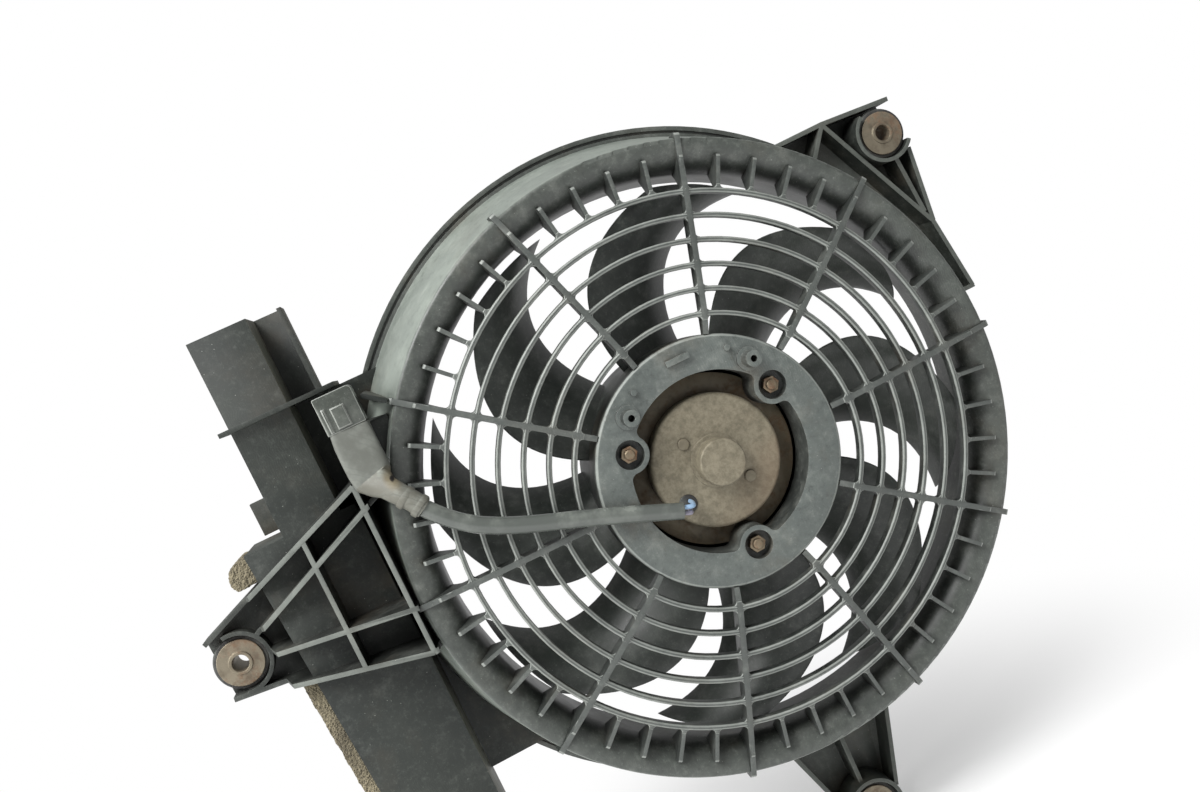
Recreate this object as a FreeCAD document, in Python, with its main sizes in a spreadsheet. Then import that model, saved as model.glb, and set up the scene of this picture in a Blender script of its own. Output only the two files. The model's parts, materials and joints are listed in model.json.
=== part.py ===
import FreeCAD, Part
import math
import os
import types

import Sketcher

# Condenser cooling fan: an axial fan on a direct-current motor, held in a moulded shroud with a
# domed finger guard, a side air duct and three rubber-bushed brackets. Millimetres, +Z up.
# The fan turns on the Y axis. The guard looks towards -Y and the rear rim lies at y = 0.

Vector = FreeCAD.Vector
doc = FreeCAD.newDocument("cooling_fan")

# Driving dimensions. A depth is measured rearwards from the front of the guard's outermost ring.
SIZES = {
    # shroud ring
    "shroud_depth": 77.5,
    "throat_radius": 151.0,
    "bell_radius": 15.0,
    "lip_depth": 4.8,
    "throat_end": 42.0,
    "shroud_wall": 2.5,
    "cone_angle": 12.3,
    "rim_start": 72.0,
    "rim_flange": 6.0,
    "rim_groove_inset": 2.5,
    "rim_groove_width": 1.6,
    "rim_groove_deep": 1.6,
    "web_count": 10,
    "web_wall": 2.0,
    # finger guard
    "guard_ring_gap": 11.0,
    "guard_ring_pitch": 12.7,
    "guard_rings": 6,
    "guard_bar_width": 2.6,
    "guard_bar_depth": 5.0,
    "guard_bar_crown": 0.8,
    "guard_dome_radius": 967.0,
    "spoke_count": 10,
    "spoke_width": 3.0,
    "spoke_depth": 7.0,
    "spoke_proud": 0.5,
    "spoke_run_in": 12.0,
    "spoke_reach": 20.3,
    "spoke_tip_depth": 14.0,
    "spoke_tip_round": 2.2,
    "ribs_between_spokes": 4,
    "short_rib_width": 2.1,
    "short_rib_front": 1.3,
    "short_rib_reach": 8.2,
    # motor ring of the guard
    "hub_ring_radius": 66.0,
    "hub_ring_opening": 47.5,
    "hub_ring_front": -5.0,
    "hub_ring_rear": 14.0,
    "hub_ring_face": 3.0,
    "hub_ring_edge": 2.0,
    "hub_rib_width": 2.0,
    "screw_circle": 48.1,
    "screw_boss_radius": 10.1,
    "screw_boss_fillet": 4.0,
    "screw_pocket_radius": 7.6,
    "screw_pocket_deep": 6.0,
    "stud_clearance": 0.25,
    "post_across": 35.0,
    "post_up": 42.0,
    "post_radius": 4.25,
    "post_length": 11.0,
    "post_foot_radius": 6.2,
    "post_foot_height": 2.0,
    "post_hole_radius": 1.8,
    "post_hole_deep": 9.0,
    "ledge_left": 6.0,
    "ledge_right": 7.0,
    "ledge_up": 57.5,
    "ledge_width": 3.0,
    "ledge_height": 3.0,
    "nub_across": 27.0,
    "nub_up": 52.0,
    "nub_radius": 1.6,
    "nub_height": 2.2,
    # motor
    "cap_front": 3.0,
    "cap_radius": 35.5,
    "cap_rear": 12.0,
    "cap_wall": 1.8,
    "cap_edge": 2.4,
    "boss_front": -8.7,
    "boss_radius": 12.3,
    "boss_edge": 1.0,
    "boss_step_radius": 14.2,
    "boss_step_height": 1.2,
    "can_radius": 33.7,
    "can_wall": 2.0,
    "can_rear": 51.0,
    "rear_boss_rear": 57.0,
    "bearing_length": 9.0,
    "shaft_radius": 4.0,
    "running_gap": 0.04,
    "bracket_wall": 2.5,
    "bracket_ring_radius": 46.0,
    "bracket_ear_radius": 9.0,
    "rivet_circle": 20.0,
    "rivet_angle": 130.0,
    "rivet_head_radius": 3.15,
    "rivet_head_height": 1.2,
    "rivet_shank_radius": 1.6,
    "stud_radius": 2.5,
    "stud_out": 5.6,
    "nut_across_flats": 8.0,
    "nut_height": 4.0,
    "magnet_wall": 4.0,
    "magnet_front": 19.0,
    "magnet_rear": 46.0,
    "magnet_span": 130.0,
    "air_gap": 1.0,
    "core_front": 22.0,
    "core_rear": 42.0,
    "slot_count": 12,
    "slot_width": 4.0,
    "slot_floor_radius": 15.0,
    "coil_clearance": 0.2,
    "coil_overhang": 4.5,
    "commutator_radius": 10.5,
    "commutator_front": 7.5,
    "commutator_rear": 16.5,
    "brush_gap": 0.3,
    "brush_width": 5.0,
    "brush_length": 11.0,
    "brush_angle": 75.0,
    "brush_depth": 12.0,
    "holder_wall": 0.9,
    "holder_clearance": 0.15,
    "card_wall": 2.0,
    "card_inner_radius": 13.0,
    "card_outer_radius": 31.0,
    "spring_radius": 2.0,
    "washer_wall": 0.8,
    "washer_radius": 7.0,
    # fan
    "blade_count": 8,
    "fan_tip_gap": 4.0,
    "fan_hub_radius": 64.0,
    "fan_hub_wall": 2.5,
    "fan_hub_front": 17.5,
    "fan_hub_rear": 62.0,
    "fan_hub_edge": 6.0,
    "fan_boss_radius": 14.0,
    "fan_boss_rear": 66.0,
    "fan_rib_count": 8,
    "fan_rib_width": 2.0,
    "fan_rib_height": 9.0,
    "blade_middle": 33.0,
    "blade_wall": 2.4,
    "blade_edge_wall": 1.3,
    "blade_camber": 0.1,
    "insert_radius": 9.0,
    "insert_front": 58.5,
    "fan_nut_flats": 13.0,
    "fan_nut_height": 5.0,
    "shaft_end": 73.0,
    # rubber bushings
    "sleeve_front": 56.0,
    "sleeve_disc_radius": 12.6,
    "sleeve_disc_wall": 1.6,
    "sleeve_radius": 6.5,
    "sleeve_bore_radius": 4.5,
    "sleeve_collar_radius": 6.3,
    "sleeve_collar_height": 0.8,
    "grommet_radius": 14.5,
    "grommet_neck_radius": 11.0,
    "grommet_lip": 2.0,
    "boss_ring_radius": 17.4,
    "boss_ring_inner": 15.2,
    "boss_ring_span": 200.0,
    "boss_floor_radius": 14.9,
    "boss_ring_front": 54.0,
    "boss_floor_rear": 72.0,
    "left_boss_x": -269.4,
    "left_boss_z": 7.0,
    "upper_boss_x": 184.4,
    "upper_boss_z": 118.6,
    "lower_boss_x": 13.5,
    "lower_boss_z": -242.0,
    # side duct
    "duct_front": 38.0,
    "duct_wall": 2.5,
    "duct_left": -218.0,
    "duct_right": -186.0,
    "duct_top": 169.0,
    "duct_step": 59.0,
    "duct_low_left_top": -240.0,
    "duct_low_left_bottom": -228.0,
    "duct_low_right": -178.0,
    "duct_bottom": -165.0,
    "duct_rib_height": 120.0,
    "duct_rib_left": -223.0,
    "duct_rib_right": -160.0,
    "duct_rib_proud": 6.0,
    "duct_flange_right": -169.0,
    "duct_flange_front": 56.0,
    "duct_lip_left": -232.0,
    "duct_lip_bottom": 61.0,
    "duct_lip_top": 80.0,
    "web_plate_front": 70.0,
    "web_plate_wall": 3.0,
    "web_plate_bottom": -114.0,
    "foam_wall": 9.0,
    "foam_bulge": 14.0,
    "foam_front": 44.0,
    "foam_rear": 76.0,
    # brackets
    "rib_wall": 2.6,
    "left_floor_front": 62.0,
    "left_floor_right": -238.0,
    "bracket_floor_wall": 3.0,
    "bracket_rib_front": 58.0,
    # connector and lead
    "outer_rib_angle": 144.0,
    "outer_rib_front": 3.5,
    "outer_rib_end": 185.0,
    "plug_left": -171.1,
    "plug_right": -151.4,
    "plug_bottom": 97.0,
    "plug_top": 116.5,
    "plug_front": -6.0,
    "plug_rear": 11.0,
    "plug_body_bottom": 70.0,
    "plug_body_rear": 4.3,
    "plug_edge": 2.5,
    "lead_radius": 4.4,
    "lead_depth": -12.6,
    "boot_wall": 0.9,
    "boot_neck_length": 7.5,
    "boot_band_width": 2.2,
    "boot_band_pitch": 4.0,
    "wire_radius": 1.15,
    "wire_exit_x": -23.6,
    "wire_exit_z": -14.0,
    "cable_seal_radius": 5.0,
}

sheet = doc.addObject("Spreadsheet::Sheet", "sizes")
for row, (size_name, size_value) in enumerate(SIZES.items(), start=1):
    sheet.set(f"A{row}", size_name)
    sheet.set(f"B{row}", str(size_value))
    sheet.setAlias(f"B{row}", size_name)
doc.recompute()


class Size:
    """A length or an angle that knows its number and the sheet formula that gives it."""

    def __init__(self, value, formula):
        self.value = float(value)
        self.formula = formula

    def __add__(self, other):
        other = size(other)
        return Size(self.value + other.value, f"({self.formula} + {other.formula})")

    def __radd__(self, other):
        return size(other) + self

    def __sub__(self, other):
        other = size(other)
        return Size(self.value - other.value, f"({self.formula} - {other.formula})")

    def __rsub__(self, other):
        return size(other) - self

    def __mul__(self, other):
        other = size(other)
        return Size(self.value * other.value, f"({self.formula} * {other.formula})")

    def __rmul__(self, other):
        return size(other) * self

    def __truediv__(self, other):
        other = size(other)
        return Size(self.value / other.value, f"({self.formula} / {other.formula})")

    def __rtruediv__(self, other):
        return size(other) / self

    def __neg__(self):
        return Size(-self.value, f"(0 - {self.formula})")


def size(number):
    return number if isinstance(number, Size) else Size(number, f"({number!r})")


def cos(angle):
    angle = size(angle)
    return Size(math.cos(math.radians(angle.value)), f"cos({angle.formula})")


def sin(angle):
    angle = size(angle)
    return Size(math.sin(math.radians(angle.value)), f"sin({angle.formula})")


def tan(angle):
    return sin(angle) / cos(angle)


def root(amount):
    return Size(math.sqrt(amount.value), f"sqrt({amount.formula})")


def turned(x, y, angle):
    """A point turned about the origin by that angle."""
    return x * cos(angle) - y * sin(angle), x * sin(angle) + y * cos(angle)


S = types.SimpleNamespace(**{name: Size(value, f"sizes.{name}") for name, value in SIZES.items()})


def at(depth):
    """The y of a depth behind the front of the guard."""
    return size(depth) - S.shroud_depth


def bind(thing, name, amount):
    amount = size(amount)
    thing.setExpression(name, amount.formula)


# Document helpers

def new_body(label):
    body = doc.addObject("PartDesign::Body", label)
    body.Label = label
    return body


def origin_feature(body, role):
    return next(feature for feature in body.Origin.OriginFeatures if feature.Role == role)


def new_sketch(body, name, plane, offset=0, spin=0):
    """A sketch on a plane of the body's origin, moved along the plane's normal, turned about Y."""
    sketch = body.newObject("Sketcher::SketchObject", name)
    sketch.AttachmentSupport = [(origin_feature(body, plane), "")]
    sketch.MapMode = "FlatFace"
    offset = size(offset)
    spin = size(spin)
    turn = FreeCAD.Rotation(Vector(0, 1, 0), spin.value) if spin.value else FreeCAD.Rotation()
    sketch.AttachmentOffset = FreeCAD.Placement(Vector(0, 0, offset.value), turn)
    bind(sketch, "AttachmentOffset.Base.z", offset)
    if spin.value:
        bind(sketch, "AttachmentOffset.Rotation.Angle", spin)
    return sketch


def pin_point(sketch, edge, end, x, y):
    """Dimensions that hold one point of a sketch at x, y from its origin."""
    for kind, amount in (("DistanceX", x), ("DistanceY", y)):
        amount = size(amount)
        index = sketch.addConstraint(Sketcher.Constraint(kind, -1, 1, edge, end, amount.value))
        name = f"{kind}_{edge}_{end}"
        sketch.renameConstraint(index, name)
        bind(sketch, f"Constraints.{name}", amount)


def hold_radius(sketch, edge, radius):
    index = sketch.addConstraint(Sketcher.Constraint("Radius", edge, radius.value))
    name = f"Radius_{edge}"
    sketch.renameConstraint(index, name)
    bind(sketch, f"Constraints.{name}", radius)


def arc_between(start, end, radius):
    """The short arc from start to end, turning left for a positive radius and right otherwise."""
    chord = end - start
    middle = (start + end) * 0.5
    height = math.sqrt(max(radius * radius - chord.Length * chord.Length / 4, 0))
    left = Vector(-chord.y, chord.x, 0).normalize()
    centre = middle + left * (height if radius > 0 else -height)
    circle = Part.Circle(centre, Vector(0, 0, 1), abs(radius))
    first, last = (start, end) if radius > 0 else (end, start)
    angles = [math.atan2(point.y - centre.y, point.x - centre.x) for point in (first, last)]
    return Part.ArcOfCircle(circle, angles[0], angles[1])


def outline(sketch, points):
    """A closed outline. A third value makes the edge that ends there an arc of that radius."""
    points = [tuple(size(value) for value in point) for point in points]
    first_edge = sketch.GeometryCount
    count = len(points)
    starts = []
    for index in range(count):
        here = points[index]
        there = points[(index + 1) % count]
        start = Vector(here[0].value, here[1].value, 0)
        end = Vector(there[0].value, there[1].value, 0)
        edge = first_edge + index
        if len(there) == 3:
            sketch.addGeometry(arc_between(start, end, there[2].value), False)
            starts.append((edge, 1, 2) if there[2].value > 0 else (edge, 2, 1))
        else:
            sketch.addGeometry(Part.LineSegment(start, end), False)
            starts.append((edge, 1, 2))
    for index in range(count):
        edge, start_end, finish_end = starts[index]
        following, next_start, next_finish = starts[(index + 1) % count]
        sketch.addConstraint(
            Sketcher.Constraint("Coincident", edge, finish_end, following, next_start))
    for index in range(count):
        edge, start_end, finish_end = starts[index]
        pin_point(sketch, edge, start_end, points[index][0], points[index][1])
        there = points[(index + 1) % count]
        if len(there) == 3:
            hold_radius(sketch, edge, there[2] if there[2].value > 0 else -there[2])


def circle(sketch, x, y, radius):
    x = size(x)
    y = size(y)
    radius = size(radius)
    edge = sketch.GeometryCount
    centre = Vector(x.value, y.value, 0)
    sketch.addGeometry(Part.Circle(centre, Vector(0, 0, 1), radius.value), False)
    pin_point(sketch, edge, 3, x, y)
    hold_radius(sketch, edge, radius)


def rectangle(sketch, left, bottom, right, top):
    outline(sketch, [(left, bottom), (right, bottom), (right, top), (left, top)])


def strip(sketch, start, end, width):
    """A straight rib seen from the front: a rectangle of that width about a centre line."""
    x0, y0 = (size(value) for value in start)
    x1, y1 = (size(value) for value in end)
    length = root((x1 - x0) * (x1 - x0) + (y1 - y0) * (y1 - y0))
    side_x = (y0 - y1) * width / length / 2
    side_y = (x1 - x0) * width / length / 2
    outline(sketch, [(x0 - side_x, y0 - side_y), (x1 - side_x, y1 - side_y),
                     (x1 + side_x, y1 + side_y), (x0 + side_x, y0 + side_y)])


def polygon(sketch, x, y, across_flats, corners=6):
    """A regular polygon with a flat side on top."""
    corner_radius = size(across_flats) / 2 / cos(180 / corners)
    outline(sketch, [(x + corner_radius * cos(360 * k / corners),
                      y + corner_radius * sin(360 * k / corners)) for k in range(corners)])


def pad(body, sketch, length, symmetric=False):
    feature = body.newObject("PartDesign::Pad", f"{sketch.Name}_pad")
    feature.Profile = sketch
    if symmetric:
        feature.SideType = "Symmetric"
    bind(feature, "Length", length)
    return feature


def pocket(body, sketch, length, symmetric=False):
    feature = body.newObject("PartDesign::Pocket", f"{sketch.Name}_cut")
    feature.Profile = sketch
    if symmetric:
        feature.SideType = "Symmetric"
    bind(feature, "Length", length)
    return feature


def revolve(body, sketch, angle=360):
    feature = body.newObject("PartDesign::Revolution", f"{sketch.Name}_turned")
    feature.Profile = sketch
    feature.ReferenceAxis = (sketch, ["V_Axis"])
    bind(feature, "Angle", angle)
    if size(angle).value != 360:
        feature.Midplane = True
    return feature


def groove(body, sketch):
    feature = body.newObject("PartDesign::Groove", f"{sketch.Name}_cut")
    feature.Profile = sketch
    feature.ReferenceAxis = (sketch, ["V_Axis"])
    feature.Angle = 360
    return feature


def around(body, feature, count):
    """Copies of a feature, evenly spaced about the fan's axis."""
    pattern = body.newObject("PartDesign::PolarPattern", f"{feature.Name}_around")
    pattern.Originals = [feature]
    pattern.Axis = (origin_feature(body, "Y_Axis"), [""])
    pattern.Angle = 360
    bind(pattern, "Occurrences", count)
    body.Tip = pattern
    return pattern


def front_sketch(body, name, y):
    """A sketch in the X-Z plane at that y. A pad grows from it towards the front."""
    return new_sketch(body, name, "XZ_Plane", -size(y))


def side_sketch(body, name, spin=0):
    """A sketch of radius against y, turned by that angle about the fan's axis."""
    return new_sketch(body, name, "XY_Plane", 0, spin)


def plate(body, name, front, rear, draw):
    """A pad between two depths. draw adds the outlines to its sketch."""
    sketch = front_sketch(body, name, at(rear))
    draw(sketch)
    return pad(body, sketch, size(rear) - front)


def sink(body, name, front, rear, draw):
    """A pocket between two depths, cut from the front one rearwards."""
    sketch = front_sketch(body, name, at(front))
    draw(sketch)
    return pocket(body, sketch, size(rear) - front)


def cut(label, base, *tools):
    """The base less each tool, as one object of that label."""
    for number, tool in enumerate(tools, start=1):
        result = doc.addObject("Part::Cut", f"{label}_trim_{number}")
        result.Base = base
        result.Tool = tool
        base = result
    base.Label = label
    return base


# Shroud ring: a bellmouth that turns over a rounded lip into a cone, with a flanged rear rim

bell_centre_r = S.throat_radius + S.bell_radius
bell_centre_y = at(S.lip_depth + S.bell_radius)
lip_y = at(S.lip_depth + S.shroud_wall)


def cone_radius(depth, inset=0):
    """Outer radius of the cone at that depth, less an inset measured square to its wall."""
    rise = (size(depth) - S.lip_depth - S.shroud_wall) * tan(S.cone_angle)
    return bell_centre_r + rise + (S.shroud_wall - inset) / cos(S.cone_angle)


rim_radius = cone_radius(S.rim_start) + S.rim_flange


def lip_outline():
    """The front of the ring from the throat over the lip to the cone."""
    return [
        (S.throat_radius, bell_centre_y),
        (bell_centre_r, at(S.lip_depth), S.bell_radius),
        (bell_centre_r + S.shroud_wall * cos(S.cone_angle),
         lip_y - S.shroud_wall * sin(S.cone_angle), S.shroud_wall),
        (cone_radius(S.rim_start), at(S.rim_start)),
        (rim_radius, at(S.rim_start)),
        (rim_radius, 0),
    ]


def shroud_envelope():
    """The ring with the space inside its two walls filled, to trim what stands on it."""
    body = new_body("shroud_envelope")
    sketch = side_sketch(body, "filled_ring")
    outline(sketch, [(S.throat_radius, 0)] + lip_outline())
    revolve(body, sketch)
    return body


def shroud_ring():
    body = new_body("shroud_ring")
    sketch = side_sketch(body, "ring_wall")
    inner_radius = S.throat_radius + S.shroud_wall
    outline(sketch, [(S.throat_radius, at(S.throat_end))] + lip_outline() + [
        (cone_radius(S.shroud_depth, S.shroud_wall), 0),
        (bell_centre_r, lip_y),
        (inner_radius, bell_centre_y, -(S.bell_radius - S.shroud_wall)),
        (inner_radius, at(S.throat_end)),
    ])
    revolve(body, sketch)
    half = S.shroud_wall / 2
    web = side_sketch(body, "ring_web", 360 / S.web_count / 2)
    outline(web, [
        (S.throat_radius + half, at(S.throat_end)),
        (S.throat_radius + half, bell_centre_y),
        (bell_centre_r, at(S.lip_depth + half), S.bell_radius - half),
        (cone_radius(S.throat_end, half), at(S.throat_end)),
    ])
    around(body, pad(body, web, S.web_wall, True), S.web_count)
    bead = side_sketch(body, "rim_bead")
    groove_outer = rim_radius - S.rim_groove_inset
    rectangle(bead, groove_outer - S.rim_groove_width, at(S.rim_start - 1),
              groove_outer, at(S.rim_start + S.rim_groove_deep))
    groove(body, bead)
    return body


# Finger guard: domed rings on ten deep spokes, whose tips turn over the lip, and short ribs

guard_radius = S.throat_radius - S.guard_ring_gap


def dome(radius):
    """Depth of the guard's front surface at that radius, level at the outermost ring."""
    radius = size(radius)
    rise = radius * radius - guard_radius * guard_radius
    return rise / (S.guard_dome_radius * 2)


def guard_grille(ring_tool, hub_tool):
    body = new_body("guard_bars")
    half = S.guard_bar_width / 2
    crown = S.guard_bar_crown
    crown_curve = (half * half + crown * crown) / (crown * 2)
    rings = side_sketch(body, "guard_rings")
    for number in range(int(S.guard_rings.value)):
        radius = guard_radius - S.guard_ring_pitch * number
        front = at(dome(radius))
        outline(rings, [
            (radius - half, front + S.guard_bar_depth), (radius - half, front + crown),
            (radius + half, front + crown, crown_curve),
            (radius + half, front + S.guard_bar_depth),
        ])
    revolve(body, rings)
    inside = S.hub_ring_radius - S.hub_ring_edge
    shoulder = S.hub_ring_radius + S.spoke_run_in
    tip = S.throat_radius + S.spoke_reach
    tip_front = at(dome(tip) - S.spoke_proud)
    foot = S.throat_radius - 5
    spoke = side_sketch(body, "spoke")
    outline(spoke, [
        (inside, at(dome(inside) + S.spoke_depth)),
        (inside, at(S.hub_ring_front)),
        (S.hub_ring_radius, at(S.hub_ring_front)),
        (shoulder, at(dome(shoulder) - S.spoke_proud)),
        (tip - S.spoke_tip_round, tip_front, S.guard_dome_radius),
        (tip, tip_front + S.spoke_tip_round, S.spoke_tip_round),
        (tip, at(S.spoke_tip_depth)),
        (cone_radius(S.spoke_tip_depth + 4, S.shroud_wall), at(S.spoke_tip_depth + 4)),
        (S.throat_radius + 1, at(S.spoke_tip_depth + 6)),
        (foot, at(dome(foot) + S.spoke_depth + 1)),
    ])
    around(body, pad(body, spoke, S.spoke_width, True), S.spoke_count)
    rib = side_sketch(body, "short_rib", 360 / (S.spoke_count * (S.ribs_between_spokes + 1)))
    rib_end = S.throat_radius + S.short_rib_reach
    round_off = S.spoke_tip_round
    outline(rib, [
        (guard_radius, at(S.guard_bar_depth - 1)), (guard_radius, at(S.short_rib_front)),
        (rib_end - round_off, at(S.short_rib_front)),
        (rib_end, at(S.short_rib_front) + round_off, round_off),
        (rib_end, at(S.lip_depth + 9)),
        (S.throat_radius + 1, at(S.lip_depth + S.bell_radius)),
    ])
    ribs = S.spoke_count * (S.ribs_between_spokes + 1)
    around(body, pad(body, rib, S.short_rib_width, True), ribs)
    return cut("guard_grille", body, ring_tool, hub_tool)


# Motor ring of the guard: a channel section with three screw bosses, posts and nubs

def screw_angles():
    return (30, 150, 270)


def on_circle(radius, angle):
    return radius * cos(angle), radius * sin(angle)


def boss_blend():
    """The web that blends a screw boss into the opening, for a boss that lies on +x."""
    fillet = S.screw_boss_fillet
    opening = S.hub_ring_opening
    inner = opening - fillet
    reach = S.screw_boss_radius + fillet
    lean = (S.screw_circle * S.screw_circle + inner * inner - reach * reach) / (
        S.screw_circle * inner * 2)
    side = root(1 - lean * lean)
    touch = S.screw_boss_radius / reach
    waist = S.screw_circle + (inner * lean - S.screw_circle) * touch
    spread = inner * side * touch
    beyond = opening + 2
    return [
        (beyond * lean, -(beyond * side)), (opening * lean, -(opening * side)),
        (waist, -spread, fillet), (S.screw_circle, size(0)), (waist, spread),
        (opening * lean, opening * side, fillet), (beyond * lean, beyond * side),
    ]


def hub_envelope():
    body = new_body("hub_envelope")
    plate(body, "hub_disc", S.hub_ring_front - 15, S.hub_ring_rear,
          lambda sketch: circle(sketch, 0, 0, S.hub_ring_radius))
    return body


def motor_ring():
    body = new_body("motor_ring")
    wall = S.shroud_wall
    front = at(S.hub_ring_front)
    rear = at(S.hub_ring_rear)
    floor = front + S.hub_ring_face
    channel = side_sketch(body, "channel")
    outline(channel, [
        (S.hub_ring_opening, rear), (S.hub_ring_opening, front),
        (S.hub_ring_radius - S.hub_ring_edge, front),
        (S.hub_ring_radius, front + S.hub_ring_edge, S.hub_ring_edge),
        (S.hub_ring_radius, rear), (S.hub_ring_radius - wall, rear),
        (S.hub_ring_radius - wall, floor), (S.hub_ring_opening + wall, floor),
        (S.hub_ring_opening + wall, rear),
    ])
    revolve(body, channel)
    stiffener = side_sketch(body, "stiffener")
    rectangle(stiffener, S.hub_ring_opening + wall / 2, floor - S.hub_ring_face / 2,
              S.hub_ring_radius - wall / 2, rear - 2)
    around(body, pad(body, stiffener, S.hub_rib_width, True), S.spoke_count)

    def bosses(sketch):
        for angle in screw_angles():
            circle(sketch, *on_circle(S.screw_circle, angle), S.screw_boss_radius)

    def boss_fillets(sketch):
        for angle in screw_angles():
            outline(sketch, [(*turned(x, y, angle), *curve) for x, y, *curve in boss_blend()])

    def pockets(sketch):
        for angle in screw_angles():
            circle(sketch, *on_circle(S.screw_circle, angle), S.screw_pocket_radius)

    def stud_holes(sketch):
        for angle in screw_angles():
            circle(sketch, *on_circle(S.screw_circle, angle), S.stud_radius + S.stud_clearance)

    def posts(radius):
        def draw(sketch):
            for side in (-1, 1):
                circle(sketch, S.post_across * side, S.post_up, radius)
        return draw

    def nubs(sketch):
        for side in (-1, 1):
            circle(sketch, S.nub_across * side, S.nub_up, S.nub_radius)

    face = S.hub_ring_front
    plate(body, "screw_bosses", face, S.hub_ring_rear, bosses)
    plate(body, "boss_fillets", face, S.hub_ring_rear, boss_fillets)
    sink(body, "screw_pockets", face, face + S.screw_pocket_deep, pockets)
    sink(body, "stud_holes", face + S.screw_pocket_deep, S.hub_ring_rear, stud_holes)
    plate(body, "post_feet", face - S.post_foot_height, face + 1, posts(S.post_foot_radius))
    plate(body, "posts", face - S.post_length, face + 1, posts(S.post_radius))
    sink(body, "post_holes", face - S.post_length, face - S.post_length + S.post_hole_deep,
         posts(S.post_hole_radius))
    plate(body, "nubs", face - S.nub_height, face + 1, nubs)
    half = S.ledge_width / 2
    plate(body, "ledge", face - S.ledge_height, face + 1,
          lambda sketch: rectangle(sketch, -S.ledge_left, S.ledge_up - half,
                                   S.ledge_right, S.ledge_up + half))
    return body


# Motor casing

def motor_end_cap():
    body = new_body("motor_end_cap")
    wall = S.cap_wall
    front = at(S.cap_front)
    nose = at(S.boss_front)
    bearing = S.boss_radius - wall
    shell = side_sketch(body, "cap_shell")
    outline(shell, [
        (0, nose), (S.boss_radius - S.boss_edge, nose),
        (S.boss_radius, nose + S.boss_edge, S.boss_edge),
        (S.boss_radius, front - S.boss_step_height),
        (S.boss_step_radius, front - S.boss_step_height), (S.boss_step_radius, front),
        (S.cap_radius - S.cap_edge, front), (S.cap_radius, front + S.cap_edge, S.cap_edge),
        (S.cap_radius, at(S.cap_rear)), (S.can_radius, at(S.cap_rear)),
        (S.can_radius, front + wall), (bearing, front + wall),
        (bearing, nose + wall), (0, nose + wall),
    ])
    revolve(body, shell)

    def holes(sketch):
        for angle in (S.rivet_angle, S.rivet_angle + 180):
            circle(sketch, *on_circle(S.rivet_circle, angle), S.rivet_shank_radius)
        circle(sketch, S.wire_exit_x, S.wire_exit_z, S.cable_seal_radius)

    sink(body, "cap_holes", S.cap_front - 1, S.cap_front + wall + 1, holes)
    return body


def motor_can():
    body = new_body("motor_can")
    wall = S.can_wall
    inner = S.can_radius - wall
    shell = side_sketch(body, "can_shell")
    bearing = S.boss_radius - S.cap_wall
    front = at(S.cap_front) + S.cap_wall
    rear = at(S.can_rear)
    end = at(S.rear_boss_rear)
    outline(shell, [
        (inner, front), (S.can_radius, front), (S.can_radius, rear - S.cap_edge),
        (S.can_radius - S.cap_edge, rear, S.cap_edge), (S.boss_radius, rear),
        (S.boss_radius, end), (S.shaft_radius + 1, end),
        (S.shaft_radius + 1, end - wall), (bearing, end - wall),
        (bearing, rear - wall), (inner, rear - wall),
    ])
    revolve(body, shell)
    return body


def motor_bracket():
    """Stamped plate round the can, with an ear behind each screw boss."""
    body = new_body("motor_bracket")
    front = S.hub_ring_rear
    rear = front + S.bracket_wall

    def ears(sketch):
        for angle in screw_angles():
            circle(sketch, *on_circle(S.screw_circle, angle), S.bracket_ear_radius)

    def stud_holes(sketch):
        for angle in screw_angles():
            circle(sketch, *on_circle(S.screw_circle, angle), S.stud_radius)

    plate(body, "plate_disc", front, rear,
          lambda sketch: circle(sketch, 0, 0, S.bracket_ring_radius))
    plate(body, "plate_ears", front, rear, ears)
    sink(body, "plate_bore", front, rear, lambda sketch: circle(sketch, 0, 0, S.can_radius))
    sink(body, "plate_stud_holes", front, rear, stud_holes)
    return body


def mount_studs():
    body = new_body("mount_studs")
    tip = S.hub_ring_front + S.screw_pocket_deep - S.stud_out

    def rods(sketch):
        for angle in screw_angles():
            circle(sketch, *on_circle(S.screw_circle, angle), S.stud_radius)

    plate(body, "rods", tip, S.hub_ring_rear + S.bracket_wall, rods)
    return body


def mount_nuts():
    body = new_body("mount_nuts")
    seat = S.hub_ring_front + S.screw_pocket_deep

    def hexagons(sketch):
        for angle in screw_angles():
            polygon(sketch, *on_circle(S.screw_circle, angle), S.nut_across_flats)

    def threads(sketch):
        for angle in screw_angles():
            circle(sketch, *on_circle(S.screw_circle, angle), S.stud_radius)

    plate(body, "hexagons", seat - S.nut_height, seat, hexagons)
    sink(body, "threads", seat - S.nut_height, seat, threads)
    return body


def cap_rivets():
    body = new_body("cap_rivets")
    front = S.cap_front

    def round_at(radius):
        def draw(sketch):
            for angle in (S.rivet_angle, S.rivet_angle + 180):
                circle(sketch, *on_circle(S.rivet_circle, angle), radius)
        return draw

    plate(body, "heads", front - S.rivet_head_height, front, round_at(S.rivet_head_radius))
    plate(body, "shanks", front, front + S.cap_wall + S.card_wall,
          round_at(S.rivet_shank_radius))
    return body


def magnets():
    body = new_body("motor_magnets")
    outer = S.can_radius - S.can_wall
    arc = side_sketch(body, "magnet_section")
    rectangle(arc, outer - S.magnet_wall, at(S.magnet_front), outer, at(S.magnet_rear))
    around(body, revolve(body, arc, S.magnet_span), 2)
    return body


def bearing(label, front):
    body = new_body(label)
    section = side_sketch(body, "bush_section")
    rectangle(section, S.shaft_radius + S.running_gap, at(front),
              S.boss_radius - S.cap_wall, at(front + S.bearing_length))
    revolve(body, section)
    return body


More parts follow.
